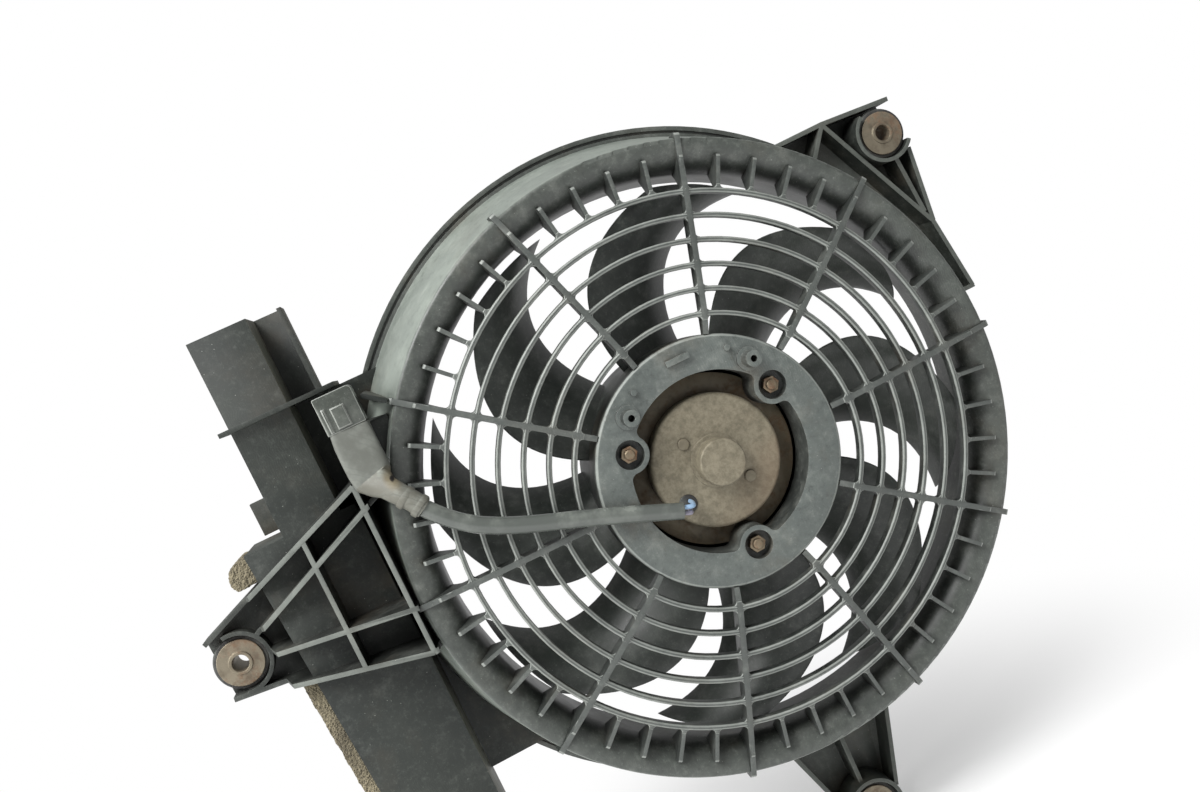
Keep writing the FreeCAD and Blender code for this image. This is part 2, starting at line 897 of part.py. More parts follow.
def brush_card():
    body = new_body("brush_card")
    front = S.cap_front + S.cap_wall
    rear = front + S.card_wall

    def rivet_holes(sketch):
        for angle in (S.rivet_angle, S.rivet_angle + 180):
            circle(sketch, *on_circle(S.rivet_circle, angle), S.rivet_shank_radius)

    plate(body, "card", front, rear,
          lambda sketch: circle(sketch, 0, 0, S.card_outer_radius))
    sink(body, "card_bore", front, rear,
         lambda sketch: circle(sketch, 0, 0, S.card_inner_radius))
    sink(body, "card_rivet_holes", front, rear, rivet_holes)
    sink(body, "card_wire_hole", front, rear,
         lambda sketch: circle(sketch, S.wire_exit_x, S.wire_exit_z, S.cable_seal_radius - 1))
    room = S.brush_width / 2 + S.holder_clearance
    outside = room + S.holder_wall
    inner = S.card_inner_radius + 1
    outer = S.card_outer_radius - 1
    box = side_sketch(body, "holder", -S.brush_angle)
    rectangle(box, inner, at(rear) - 1, outer, at(S.brush_depth) + outside)
    around(body, pad(body, box, outside * 2, True), 2)
    slot = side_sketch(body, "holder_slot", -S.brush_angle)
    rectangle(slot, inner - 1, at(S.brush_depth) - room, outer - 2, at(S.brush_depth) + room)
    around(body, pocket(body, slot, room * 2, True), 2)
    return body


def brushes():
    body = new_body("carbon_brushes")
    half = S.brush_width / 2
    reach = S.commutator_radius + S.brush_gap
    block = side_sketch(body, "brush", -S.brush_angle)
    rectangle(block, reach - 2, at(S.brush_depth) - half,
              reach + S.brush_length, at(S.brush_depth) + half)
    around(body, pad(body, block, S.brush_width, True), 2)
    hollow = side_sketch(body, "brush_face")
    rectangle(hollow, 0, at(S.brush_depth) - half - 1, reach, at(S.brush_depth) + half + 1)
    groove(body, hollow)
    return body


def brush_springs():
    body = new_body("brush_springs")
    front = S.commutator_radius + S.brush_gap + S.brush_length
    middle = at(S.brush_depth)
    rod = side_sketch(body, "spring", -S.brush_angle)
    rectangle(rod, front, middle - S.spring_radius, S.card_outer_radius - 3,
              middle + S.spring_radius)
    around(body, pad(body, rod, S.spring_radius * 2, True), 2)
    return body


# Turning parts of the motor

def motor_shaft():
    body = new_body("motor_shaft")
    section = side_sketch(body, "shaft_section")
    thread = S.shaft_radius - 1
    outline(section, [
        (0, at(S.boss_front) + S.cap_wall + 0.5),
        (S.shaft_radius, at(S.boss_front) + S.cap_wall + 0.5),
        (S.shaft_radius, at(S.fan_boss_rear)), (thread, at(S.fan_boss_rear)),
        (thread, at(S.shaft_end)), (0, at(S.shaft_end)),
    ])
    revolve(body, section)
    return body


def armature_core():
    body = new_body("armature_core")
    outer = S.can_radius - S.can_wall - S.magnet_wall - S.air_gap

    def slots(sketch):
        half = S.slot_width / 2
        rectangle(sketch, -half, S.slot_floor_radius, half, outer + 1)

    plate(body, "stack", S.core_front, S.core_rear, lambda sketch: circle(sketch, 0, 0, outer))
    sink(body, "core_bore", S.core_front, S.core_rear,
         lambda sketch: circle(sketch, 0, 0, S.shaft_radius))
    around(body, sink(body, "slot", S.core_front, S.core_rear, slots), S.slot_count)
    return body


def armature_winding():
    body = new_body("armature_winding")
    outer = S.can_radius - S.can_wall - S.magnet_wall - S.air_gap - 2
    inner = S.slot_floor_radius - 3
    ends = side_sketch(body, "coil_ends")
    for front, rear in ((S.core_front - S.coil_overhang, S.core_front),
                        (S.core_rear, S.core_rear + S.coil_overhang)):
        rectangle(ends, inner, at(front), outer, at(rear))
    revolve(body, ends)

    def bar(sketch):
        half = S.slot_width / 2 - S.coil_clearance
        rectangle(sketch, -half, S.slot_floor_radius + S.coil_clearance, half, outer)

    around(body, plate(body, "coil_bar", S.core_front - 1, S.core_rear + 1, bar), S.slot_count)
    return body


def commutator():
    body = new_body("commutator")
    section = side_sketch(body, "commutator_section")
    rectangle(section, S.shaft_radius, at(S.commutator_front),
              S.commutator_radius, at(S.commutator_rear))
    revolve(body, section)

    def gap(sketch):
        rectangle(sketch, -0.3, S.commutator_radius - 1, 0.3, S.commutator_radius + 1)

    around(body, sink(body, "segment_gap", S.commutator_front, S.commutator_rear, gap),
           S.slot_count)
    return body


def thrust_washers():
    body = new_body("thrust_washers")
    section = side_sketch(body, "washer_sections")
    front = S.boss_front + S.cap_wall + 1.2 + S.bearing_length
    rear = S.rear_boss_rear - S.can_wall - S.bearing_length - S.washer_wall - 0.3
    for start in (front + 0.3, rear):
        rectangle(section, S.shaft_radius, at(start), S.washer_radius, at(start + S.washer_wall))
    revolve(body, section)
    return body


# Fan: a cup hub with eight swept blades, their tips trimmed to the throat

# Each blade section has its place between the root and the tip, the angle of its rear edge, the
# angle of its front edge and how far it reaches along the axis, for one of the blades.
BLADE_SECTIONS = (
    ("root", 0.0, 162.0, 200.0, 31.0),
    ("inner", 0.261, 166.0, 198.2, 33.0),
    ("middle", 0.522, 163.6, 192.2, 31.0),
    ("outer", 0.761, 156.4, 180.6, 27.0),
    ("tip", 1.0, 143.0, 162.5, 22.0),
)
fan_radius = S.throat_radius - S.fan_tip_gap
blade_root = S.fan_hub_radius - 4
blade_tip = fan_radius + 5


def blade_section(body, name, radius, rear_angle, front_angle, reach):
    """A cambered section on a flat plane that faces outwards at the blade's middle angle."""
    half_turn = (front_angle - rear_angle) / 2
    facing = (front_angle + rear_angle) / 2
    distance = radius * cos(half_turn)
    across = radius * sin(half_turn)
    sketch = body.newObject("Sketcher::SketchObject", f"blade_{name}")
    sketch.AttachmentSupport = [(origin_feature(body, "YZ_Plane"), "")]
    sketch.MapMode = "FlatFace"
    offset = Vector(0, (distance * sin(facing)).value, (distance * cos(facing)).value)
    turn = FreeCAD.Rotation(Vector(1, 0, 0), -facing.value)
    sketch.AttachmentOffset = FreeCAD.Placement(offset, turn)
    bind(sketch, "AttachmentOffset.Base.y", distance * sin(facing))
    bind(sketch, "AttachmentOffset.Base.z", distance * cos(facing))
    bind(sketch, "AttachmentOffset.Rotation.Angle", -facing)
    front = at(S.blade_middle - reach / 2)
    rear = at(S.blade_middle + reach / 2)
    length = root(across * across * 4 + reach * reach)
    sag = length * S.blade_camber
    curve = (length * length / 4 + sag * sag) / (sag * 2)
    edge = S.blade_edge_wall / 2
    crown = sag + (S.blade_wall - S.blade_edge_wall) / 2
    hollow = sag - (S.blade_wall - S.blade_edge_wall) / 2
    crown_curve = (length * length / 4 + crown * crown) / (crown * 2)
    hollow_curve = (length * length / 4 + hollow * hollow) / (hollow * 2)
    side_x = across * 2 / length * edge
    side_y = reach / length * edge
    outline(sketch, [
        (rear - side_x, -across - side_y),
        (front - side_x, across - side_y, -crown_curve),
        (front + side_x, across + side_y),
        (rear + side_x, -across + side_y, hollow_curve),
    ])
    return sketch


def fan_rotor():
    body = new_body("fan_rotor")
    front = at(S.fan_hub_front)
    rear = at(S.fan_hub_rear)
    hub = side_sketch(body, "hub_section")
    outline(hub, [
        (0, front), (S.fan_hub_radius, front), (S.fan_hub_radius, rear - S.fan_hub_edge),
        (S.fan_hub_radius - S.fan_hub_edge, rear, S.fan_hub_edge), (0, rear),
    ])
    revolve(body, hub)
    sections = []
    for name, place, rear_angle, front_angle, reach in BLADE_SECTIONS:
        radius = blade_root + (blade_tip - blade_root) * place
        sections.append(blade_section(body, name, radius, size(rear_angle), size(front_angle),
                                      size(reach)))
    blade = body.newObject("PartDesign::AdditiveLoft", "blade")
    blade.Profile = sections[0]
    blade.Sections = sections[1:]
    around(body, blade, S.blade_count)
    trim = side_sketch(body, "tip_trim")
    rectangle(trim, fan_radius, front - 30, fan_radius + 30, rear + 30)
    groove(body, trim)
    inner = S.fan_hub_radius - S.fan_hub_wall
    floor = rear - S.fan_hub_wall
    cup = side_sketch(body, "hub_cup")
    outline(cup, [(0, front - 30), (inner, front - 30), (inner, floor - S.fan_hub_edge + 1),
                  (inner - S.fan_hub_edge + 1, floor, S.fan_hub_edge - 1), (0, floor)])
    groove(body, cup)
    rib = side_sketch(body, "hub_rib")
    rectangle(rib, S.fan_boss_radius - 1, floor - S.fan_rib_height + 4, inner + 1, floor + 1)
    outline_rib = pad(body, rib, S.fan_rib_width, True)
    around(body, outline_rib, S.fan_rib_count)
    boss_front = S.insert_front
    plate(body, "hub_boss", boss_front, S.fan_boss_rear,
          lambda sketch: circle(sketch, 0, 0, S.fan_boss_radius))
    sink(body, "insert_bore", boss_front - 8, S.fan_boss_rear,
         lambda sketch: circle(sketch, 0, 0, S.insert_radius))
    return body


def hub_insert():
    body = new_body("hub_insert")
    plate(body, "insert_ring", S.insert_front, S.fan_boss_rear,
          lambda sketch: circle(sketch, 0, 0, S.insert_radius))
    sink(body, "insert_hole", S.insert_front, S.fan_boss_rear,
         lambda sketch: circle(sketch, 0, 0, S.shaft_radius))
    return body


def fan_nut():
    body = new_body("fan_nut")
    rear = S.fan_boss_rear + S.fan_nut_height
    plate(body, "nut_hexagon", S.fan_boss_rear, rear,
          lambda sketch: polygon(sketch, size(0), size(0), S.fan_nut_flats))
    sink(body, "nut_thread", S.fan_boss_rear, rear,
         lambda sketch: circle(sketch, 0, 0, S.shaft_radius - 1))
    return body


# Rubber bushings with flanged steel sleeves, one in each bracket

BOSSES = (
    (S.left_boss_x, S.left_boss_z),
    (S.upper_boss_x, S.upper_boss_z),
    (S.lower_boss_x, S.lower_boss_z),
)

disc_rear = S.sleeve_front + S.sleeve_disc_wall
floor_front = disc_rear + S.grommet_lip


def at_bosses(radius):
    def draw(sketch):
        for x, z in BOSSES:
            circle(sketch, x, z, radius)
    return draw


def mount_sleeves():
    body = new_body("mount_sleeves")
    plate(body, "discs", S.sleeve_front, disc_rear, at_bosses(S.sleeve_disc_radius))
    plate(body, "collars", S.sleeve_front - S.sleeve_collar_height, S.sleeve_front + 1,
          at_bosses(S.sleeve_collar_radius))
    plate(body, "tubes", disc_rear - 1, S.shroud_depth, at_bosses(S.sleeve_radius))
    sink(body, "bores", S.sleeve_front - S.sleeve_collar_height, S.shroud_depth,
         at_bosses(S.sleeve_bore_radius))
    return body


def mount_grommets():
    body = new_body("mount_grommets")
    rear_lip = S.boss_floor_rear + S.grommet_lip
    plate(body, "front_lips", disc_rear, floor_front, at_bosses(S.grommet_radius))
    plate(body, "necks", floor_front - 0.5, S.boss_floor_rear + 0.5,
          at_bosses(S.grommet_neck_radius))
    plate(body, "rear_lips", S.boss_floor_rear, rear_lip, at_bosses(S.grommet_radius))
    sink(body, "grommet_bores", disc_rear, rear_lip, at_bosses(S.sleeve_radius))
    return body


def cup_sector(sketch, place, facing, inner, outer):
    """Part of a ring round a bushing, centred on the side that faces the bracket."""
    turns = [facing + S.boss_ring_span * share for share in (-0.5, 0, 0.5)]
    rim = [on_circle(outer, turn) for turn in turns]
    bore = [on_circle(inner, turn) for turn in reversed(turns)]
    curves = [(), (outer,), (outer,), (), (-inner,), (-inner,)]
    outline(sketch, [(place[0] + x, place[1] + z, *curve)
                     for (x, z), curve in zip(rim + bore, curves)])


def boss_ring(body, place, tag, facing):
    """The plastic cup of one bushing: a floor that grips it and a rim on the bracket's side."""
    x, z = place
    plate(body, f"{tag}_floor", floor_front, S.boss_floor_rear,
          lambda sketch: circle(sketch, x, z, S.boss_floor_radius))
    plate(body, f"{tag}_cup_base", floor_front, S.boss_floor_rear,
          lambda sketch: cup_sector(sketch, place, facing, S.grommet_neck_radius + 1,
                                    S.boss_ring_radius))
    sink(body, f"{tag}_neck_hole", floor_front - 1, S.shroud_depth,
         lambda sketch: circle(sketch, x, z, S.grommet_neck_radius))
    plate(body, f"{tag}_cup", S.boss_ring_front, floor_front + 1,
          lambda sketch: cup_sector(sketch, place, facing, S.boss_ring_inner,
                                    S.boss_ring_radius))


# Side duct: a narrow upper tray and a wide lower one, open to the rear, with a web to the ring

def duct_upper(inset=0):
    return [(S.duct_left + inset, S.duct_step - 20), (S.duct_right - inset, S.duct_step - 20),
            (S.duct_right - inset, S.duct_top - inset), (S.duct_left + inset, S.duct_top - inset)]


def duct_lower(inset=0):
    return [(S.duct_low_left_bottom + inset, S.duct_bottom + inset),
            (S.duct_low_right - inset, S.duct_bottom + inset),
            (S.duct_low_right - inset, S.duct_step - inset),
            (S.duct_low_left_top + inset, S.duct_step - inset)]


def web_points():
    """The plate between the duct and the ring, whose far side is trimmed by the ring."""
    return [(S.duct_low_right - 1, S.web_plate_bottom), (-138, S.web_plate_bottom),
            (-165, 0), (-134, S.duct_rib_height - 1), (S.duct_right - 1, S.duct_rib_height - 1),
            (S.duct_right - 1, S.duct_step - 4), (S.duct_low_right - 1, S.duct_step - 4)]


def duct_solids(body):
    web_rear = S.web_plate_front + S.web_plate_wall
    plate(body, "lower_box", S.duct_front, S.shroud_depth,
          lambda sketch: outline(sketch, duct_lower()))
    plate(body, "upper_box", S.duct_front, S.shroud_depth,
          lambda sketch: outline(sketch, duct_upper()))
    plate(body, "web_plate", S.web_plate_front, web_rear,
          lambda sketch: outline(sketch, web_points()))


def duct_envelope():
    body = new_body("duct_envelope")
    duct_solids(body)
    return body


def side_duct(ring_tool):
    body = new_body("duct_moulding")
    duct_solids(body)
    half = S.duct_wall / 2
    plate(body, "level_rib", S.duct_front - S.duct_rib_proud, S.web_plate_front + 2,
          lambda sketch: rectangle(sketch, S.duct_rib_left, S.duct_rib_height - half,
                                   S.duct_rib_right, S.duct_rib_height + half))
    web_rear = S.web_plate_front + S.web_plate_wall
    plate(body, "flange", S.web_plate_front, web_rear,
          lambda sketch: rectangle(sketch, S.duct_right - 1, S.duct_rib_height - 2,
                                   S.duct_flange_right, S.duct_top))
    plate(body, "flange_rib", S.duct_flange_front, web_rear,
          lambda sketch: rectangle(sketch, S.duct_flange_right - S.duct_wall,
                                   S.duct_rib_height - 2, S.duct_flange_right, S.duct_top))
    plate(body, "rear_lip", web_rear, S.shroud_depth,
          lambda sketch: rectangle(sketch, S.duct_lip_left, S.duct_lip_bottom,
                                   S.duct_left + 1, S.duct_lip_top))
    wall = S.duct_wall
    hollow = S.duct_front + wall
    sink(body, "lower_hollow", hollow, S.shroud_depth,
         lambda sketch: outline(sketch, duct_lower(wall)))
    sink(body, "upper_hollow", hollow, S.shroud_depth,
         lambda sketch: outline(sketch, duct_upper(wall)))
    return cut("side_duct", body, ring_tool)


def foam_seal(bracket_tool):
    """Open-cell foam along the lower tray's left wall, above and below the left bracket."""
    body = new_body("foam_strip")
    top = S.duct_step - 2
    wall = S.foam_wall
    bulge = S.foam_bulge
    slope = (S.duct_low_left_bottom - S.duct_low_left_top) / (S.duct_bottom - S.duct_step)

    def left_wall(z):
        return S.duct_low_left_top + (z - S.duct_step) * slope

    def strips(sketch):
        outline(sketch, [
            (left_wall(top - 14), top - 14), (left_wall(top), top),
            (left_wall(top) - bulge, top - 8, bulge * 0.7),
            (left_wall(top) - bulge + 3, top - 15, bulge / 2),
        ])
        outline(sketch, [
            (left_wall(S.duct_bottom), S.duct_bottom), (left_wall(-16), -16),
            (left_wall(-16) - wall, -15), (left_wall(S.duct_bottom) - wall, S.duct_bottom),
        ])

    plate(body, "strips", S.foam_front, S.foam_rear, strips)
    return cut("foam_seal", body, bracket_tool)


# Brackets

def bracket_left(ring_tool, duct_tool, guard_tool):
    """Deep ribs that fall back from the guard's edge to the bushing."""
    body = new_body("bracket_left_ribs")
    x, z = BOSSES[0]
    inner = size(-172.0)
    second = size(-207.5)
    rib_rear = S.web_plate_front

    def ribs(sketch_name, start, end):
        sketch = front_sketch(body, sketch_name, at(rib_rear))
        strip(sketch, start, end, S.rib_wall)
        pad(body, sketch, rib_rear + 8)

    ribs("top_rib", (inner, 70.0), (x - 12, z + 17))
    ribs("bottom_rib", (inner, -22.5), (x - 11, z - 16))
    ribs("inner_rib", (inner, -23.0), (inner, 70.5))
    ribs("second_rib", (second, -17.0), (second, 55.0))
    ribs("level_spoke", (-160.0, 1.0), (x + 16, z - 1))
    ribs("diagonal", (x + 14, z + 10), (inner, 57.0))
    ribs("diagonal_end", (inner, 57.0), (-160.0, 62.0))
    ribs("bottom_end", (inner, -22.5), (-160.0, -19.5))
    slope = side_sketch(body, "slope")
    outline(slope, [(-150, at(-30)), (-150, at(9)), (inner + 3, at(9)), (inner + 2.9, at(1)),
                    (-247, at(37)),
                    (x + S.boss_ring_radius, at(S.boss_ring_front)),
                    (-310, at(S.boss_ring_front)), (-310, at(-30))])
    pocket(body, slope, 400, True)
    floor_right = S.left_floor_right
    plate(body, "left_floor", S.left_floor_front, S.left_floor_front + S.shroud_wall,
          lambda sketch: outline(sketch, [(floor_right, -13.5), (floor_right, 43.0),
                                          (x - 12, z + 17), (x - 11, z - 16)]))
    boss_ring(body, BOSSES[0], "left", 0)
    return cut("bracket_left", body, ring_tool, duct_tool, guard_tool)


def bracket_upper(ring_tool):
    body = new_body("bracket_upper_ribs")
    x, z = BOSSES[1]
    rear = S.shroud_depth
    floor = rear - S.bracket_floor_wall
    plate(body, "upper_floor", floor, rear, lambda sketch: outline(sketch, [
        (118, 136), (153, 138), (x + 12.5, z + 16), (x + 15, z - 14), (194, 60), (202, 12.4),
        (180, 12.4), (120, 100)]))

    def ribs(sketch_name, start, end):
        sketch = front_sketch(body, sketch_name, at(floor + 1))
        strip(sketch, start, end, S.rib_wall)
        pad(body, sketch, floor + 1 - S.bracket_rib_front)

    ribs("upper_edge_low", (118, 137.0), (153, 138.0))
    ribs("upper_edge_high", (152, 138.0), (x + 12.5, z + 17))
    ribs("upper_short", (153, 138), (135, 114))
    ribs("upper_long", (153, 137), (193, 60))
    ribs("upper_outer", (x + 13, z - 14), (194, 59))
    ribs("upper_inner", (x + 3, z - 17), (191, 66))
    ribs("upper_foot", (193.5, 60), (201, 13.5))
    ribs("upper_foot_end", (180, 13.5), (202, 13.5))
    boss_ring(body, BOSSES[1], "upper", 225)
    return cut("bracket_upper", body, ring_tool)


def bracket_lower(ring_tool):
    body = new_body("bracket_lower_ribs")
    x, z = BOSSES[2]
    rear = S.shroud_depth
    floor = rear - S.bracket_floor_wall
    plate(body, "lower_floor", floor, rear, lambda sketch: outline(sketch, [
        (-23, -180), (x - 17, z + 5), (x - 12, z - 12), (x + 12, z - 12), (x + 17, z + 5),
        (48, -180)]))

    def ribs(sketch_name, start, end):
        sketch = front_sketch(body, sketch_name, at(floor + 1))
        strip(sketch, start, end, S.rib_wall)
        pad(body, sketch, floor + 1 - S.bracket_rib_front)

    ribs("lower_left", (-23, -180), (x - 17, z + 4))
    ribs("lower_middle", (x - 2, -180), (x - 2, z + 16))
    ribs("lower_right", (48, -180), (x + 17, z + 4))
    boss_ring(body, BOSSES[2], "lower", 90)
    return cut("bracket_lower", body, ring_tool)


# Connector, its holder and the lead to the motor

def connector_holder(ring_tool, duct_tool, bracket_tool):
    """A ledge and cheeks behind the connector, and the rib that carries on from one spoke."""
    body = new_body("holder_ribs")
    front = S.plug_rear
    rear = S.web_plate_front
    plate(body, "holder_face", front, front + 2.5,
          lambda sketch: rectangle(sketch, S.plug_left + 2, 62, -142, 95))
    plate(body, "holder_ledge", front, rear,
          lambda sketch: rectangle(sketch, S.plug_left + 2, 92.5, -142, 95))
    plate(body, "holder_cheek", front, rear,
          lambda sketch: rectangle(sketch, S.plug_left + 2, 62, S.plug_left + 4.5, 95))
    rib = side_sketch(body, "outer_rib", -S.outer_rib_angle)
    rib_start = S.throat_radius + S.spoke_reach + 0.3
    outline(rib, [
        (rib_start, at(front)), (rib_start, at(S.outer_rib_front)),
        (S.outer_rib_end, at(S.outer_rib_front)), (S.outer_rib_end, at(rear)),
        (cone_radius(rear) - 1, at(rear)),
    ])
    pad(body, rib, S.rib_wall, True)
    return cut("connector_holder", body, ring_tool, duct_tool, bracket_tool)


def connector_cover():
    """Dark latch half of the connector."""
    body = new_body("connector_cover")
    edge = S.plug_edge
    plate(body, "cover_block", S.plug_front, S.plug_rear, lambda sketch: outline(sketch, [
        (S.plug_left, S.plug_bottom), (S.plug_right, S.plug_bottom),
        (S.plug_right, S.plug_top - edge), (S.plug_right - edge, S.plug_top, edge),
        (S.plug_left + 1, S.plug_top), (S.plug_left, S.plug_top - 1, 1.0)]))
    middle = (S.plug_left + S.plug_right) / 2
    plate(body, "latch_ramp", S.plug_front - 1.5, S.plug_front + 1,
          lambda sketch: rectangle(sketch, middle - 3.5, S.plug_bottom + 1.5,
                                   middle + 3.0, S.plug_bottom + 12))
    plate(body, "guide_rail", S.plug_front - 1.0, S.plug_front + 1,
          lambda sketch: rectangle(sketch, S.plug_left + 2.2, S.plug_bottom + 1,
                                   S.plug_left + 3.6, S.plug_bottom + 13))
    sink(body, "cover_socket", S.plug_front + 3, S.plug_rear - 3,
         lambda sketch: rectangle(sketch, S.plug_left + 3, S.plug_bottom,
                                  S.plug_right - 3, S.plug_bottom + 15))
    return body


def connector_body():
    body = new_body("connector_body")
    right = S.plug_right + 1.6
    low = S.plug_body_bottom
    plate(body, "body_block", S.plug_front, S.plug_body_rear, lambda sketch: outline(sketch, [
        (S.plug_left + 3, low), (right - 6, low), (right - 1, low + 8),
        (right, S.plug_bottom), (S.plug_left, S.plug_bottom), (S.plug_left, low + 9)]))
    return body


def connector_terminals():
    body = new_body("connector_terminals")
    middle = (S.plug_left + S.plug_right) / 2
    centre = (S.plug_front + S.plug_rear) / 2

    def blades(sketch):
        for side in (-1, 1):
            rectangle(sketch, middle + 4 * side - 1.5, S.plug_bottom,
                      middle + 4 * side + 1.5, S.plug_bottom + 11)

    plate(body, "terminal_blades", centre - 0.4, centre + 0.4, blades)
    return body


# The lead runs in straight stretches joined by tangent arcs. Its points are chosen by hand.
LEAD_ROUTE = (
    (-145.0, 47.0),
    (-135.5, 34.5),
    (-113.0, 20.3),
    (-64.2, 2.5),
    (-30.5, -12.2),
)


def rounded_route(points):
    """Straight runs joined by arcs of 0.45 of the shorter run over the tangent of half the turn."""
    edges = []
    here = points[0]
    radii = []
    for before, corner, after in zip(points, points[1:], points[2:]):
        into = (corner - before).normalize()
        out = (after - corner).normalize()
        turn = into.getAngle(out)
        shorter = min((corner - before).Length, (after - corner).Length)
        reach = 0.45 * shorter
        radii.append(reach / math.tan(turn / 2))
        start = corner - into * reach
        end = corner + out * reach
        bisector = (out - into).normalize()
        centre_distance = radii[-1] / math.cos(turn / 2)
        centre = corner + bisector * centre_distance
        middle = centre + (corner - centre).normalize() * radii[-1]
        edges.append(Part.LineSegment(here, start).toShape())
        edges.append(Part.Arc(start, middle, end).toShape())
        here = end
    edges.append(Part.LineSegment(here, points[-1]).toShape())
    return Part.Wire(edges), radii


def tube(label, points, radius):
    """A closed solid tube along a rounded route, its radius read from the sheet."""
    path, radii = rounded_route(points)
    start = points[0]
    ring = Part.Wire(Part.makeCircle(radius, start, points[1] - start))
    solid = path.makePipeShell([ring], True, False)
    expected = math.pi * radius * radius * path.Length
    print(label, "arc radii", [round(value, 1) for value in radii],
          "length", round(path.Length, 1), "volume ratio", round(solid.Volume / expected, 4))
    feature = doc.addObject("Part::Feature", label)
    feature.Label = label
    feature.Shape = solid
    feature.Placement = FreeCAD.Placement()
    return feature


def sheet_value(name):
    return float(sheet.get(name))


def front_y(depth):
    return depth - sheet_value("shroud_depth")


def cable_sleeve():
    y = front_y(sheet_value("lead_depth"))
    points = [Vector(x, y, z) for x, z in LEAD_ROUTE]
    return tube("cable_sleeve", points, sheet_value("lead_radius"))


def lead_wire(label, side):
    """One insulated wire from the motor's seal into the end of the sleeve."""
    y = front_y(sheet_value("lead_depth"))
    cap = front_y(sheet_value("cap_front"))
    x = sheet_value("wire_exit_x") + 1.3 * side
    z = sheet_value("wire_exit_z") + 1.3 * side
    end = Vector(LEAD_ROUTE[-1][0] + 0.8, y, LEAD_ROUTE[-1][1])
    shift = Vector(0.4 * side, 0, 1.4 * side)
    points = [
        Vector(x, cap - 0.6, z), Vector(x, cap - 6.5, z),
        Vector(x - 2.0, y, z + 0.3), end + shift,
    ]
    return tube(label, points, sheet_value("wire_radius"))


def cable_seal():
    """Rubber seal in the end cap with a hole for each wire."""
    body = new_body("cable_seal")
    front = S.cap_front - 0.6
    rear = S.cap_front + S.cap_wall + S.card_wall
    plate(body, "seal_plug", front, S.cap_front + S.cap_wall,
          lambda sketch: circle(sketch, S.wire_exit_x, S.wire_exit_z, S.cable_seal_radius))
    plate(body, "seal_tail", S.cap_front + S.cap_wall - 0.5, rear,
          lambda sketch: circle(sketch, S.wire_exit_x, S.wire_exit_z, S.cable_seal_radius - 1))
    return body


def lead_section(body, name, back, radius):
    """A circle square to the lead, that far before the start of its sleeve."""
    (x, z), (next_x, next_z) = LEAD_ROUTE[:2]
    run = math.hypot(next_x - x, next_z - z)
    across = (next_x - x) / run
    up = (next_z - z) / run
    sketch = body.newObject("Sketcher::SketchObject", name)
    sketch.AttachmentSupport = [(origin_feature(body, "YZ_Plane"), "")]
    sketch.MapMode = "FlatFace"
    lean = FreeCAD.Rotation(Vector(0, 0, 1), Vector(0, up, across))
    base = Vector(0, z - up * back.value, x - across * back.value)
    sketch.AttachmentOffset = FreeCAD.Placement(base, lean)
    bind(sketch, "AttachmentOffset.Base.y", z - up * back)
    bind(sketch, "AttachmentOffset.Base.z", x - across * back)
    circle(sketch, at(S.lead_depth), 0, radius)
    return sketch


def cable_boot():
    """Shrunk rubber boot that narrows from the connector to a neck with two bands."""
    body = new_body("cable_boot")
    mouth = new_sketch(body, "boot_mouth", "XY_Plane", S.plug_body_bottom)
    rectangle(mouth, S.plug_left + 3, at(S.plug_front + 0.5),
              S.plug_right - 4.4, at(S.plug_body_rear - 0.8))
    neck = S.lead_radius + S.boot_wall
    loft = body.newObject("PartDesign::AdditiveLoft", "boot")
    loft.Profile = mouth
    loft.Sections = [lead_section(body, "boot_neck", S.boot_neck_length, neck)]
    pad(body, lead_section(body, "boot_tube", S.boot_neck_length, neck), S.boot_neck_length)
    for number in (0, 1):
        back = S.boot_neck_length - 0.5 - S.boot_band_pitch * number
        band = lead_section(body, f"boot_band_{number + 1}", back, neck + S.boot_wall)
        pad(body, band, S.boot_band_width)
    return body


# The pieces of the fan, in the order in which they come apart

ring_tool = shroud_envelope()
hub_tool = hub_envelope()
duct_tool = duct_envelope()
guard = guard_grille(ring_tool, hub_tool)
left_ribs = bracket_left(ring_tool, duct_tool, guard)

pieces = [
    shroud_ring(),
    guard,
    motor_ring(),
    side_duct(ring_tool),
    left_ribs,
    bracket_upper(ring_tool),
    bracket_lower(ring_tool),
    mount_sleeves(),
    mount_grommets(),
    foam_seal(left_ribs),
    motor_end_cap(),
    motor_can(),
    motor_bracket(),
    mount_studs(),
    mount_nuts(),
    cap_rivets(),
    magnets(),
    bearing("front_bearing", S.boss_front + S.cap_wall + 1.2),
    bearing("rear_bearing", S.rear_boss_rear - S.can_wall - S.bearing_length),
    brush_card(),
    brushes(),
    brush_springs(),
    motor_shaft(),
    armature_core(),
    armature_winding(),
    commutator(),
    thrust_washers(),
    fan_rotor(),
    hub_insert(),
    fan_nut(),
    connector_holder(ring_tool, duct_tool, left_ribs),
    connector_cover(),
    connector_body(),
    connector_terminals(),
    cable_seal(),
    cable_boot(),
    cable_sleeve(),
    lead_wire("lead_wire_blue", 1),
    lead_wire("lead_wire_grey", -1),
]

doc.recompute()
for item in doc.Objects:
    if {"Invalid", "Error"} & set(item.State):
        raise RuntimeError(f"{item.Label} is in state {item.State}")
    if item.TypeId in ("PartDesign::Pocket", "PartDesign::Groove"):
        if item.Shape.Volume > item.BaseFeature.Shape.Volume - 1e-6:
            raise RuntimeError(f"{item.Label} cuts nothing")
for piece in pieces:
    if piece.Shape.isNull() or not piece.Shape.isValid():
        raise RuntimeError(f"{piece.Label} has no valid shape")

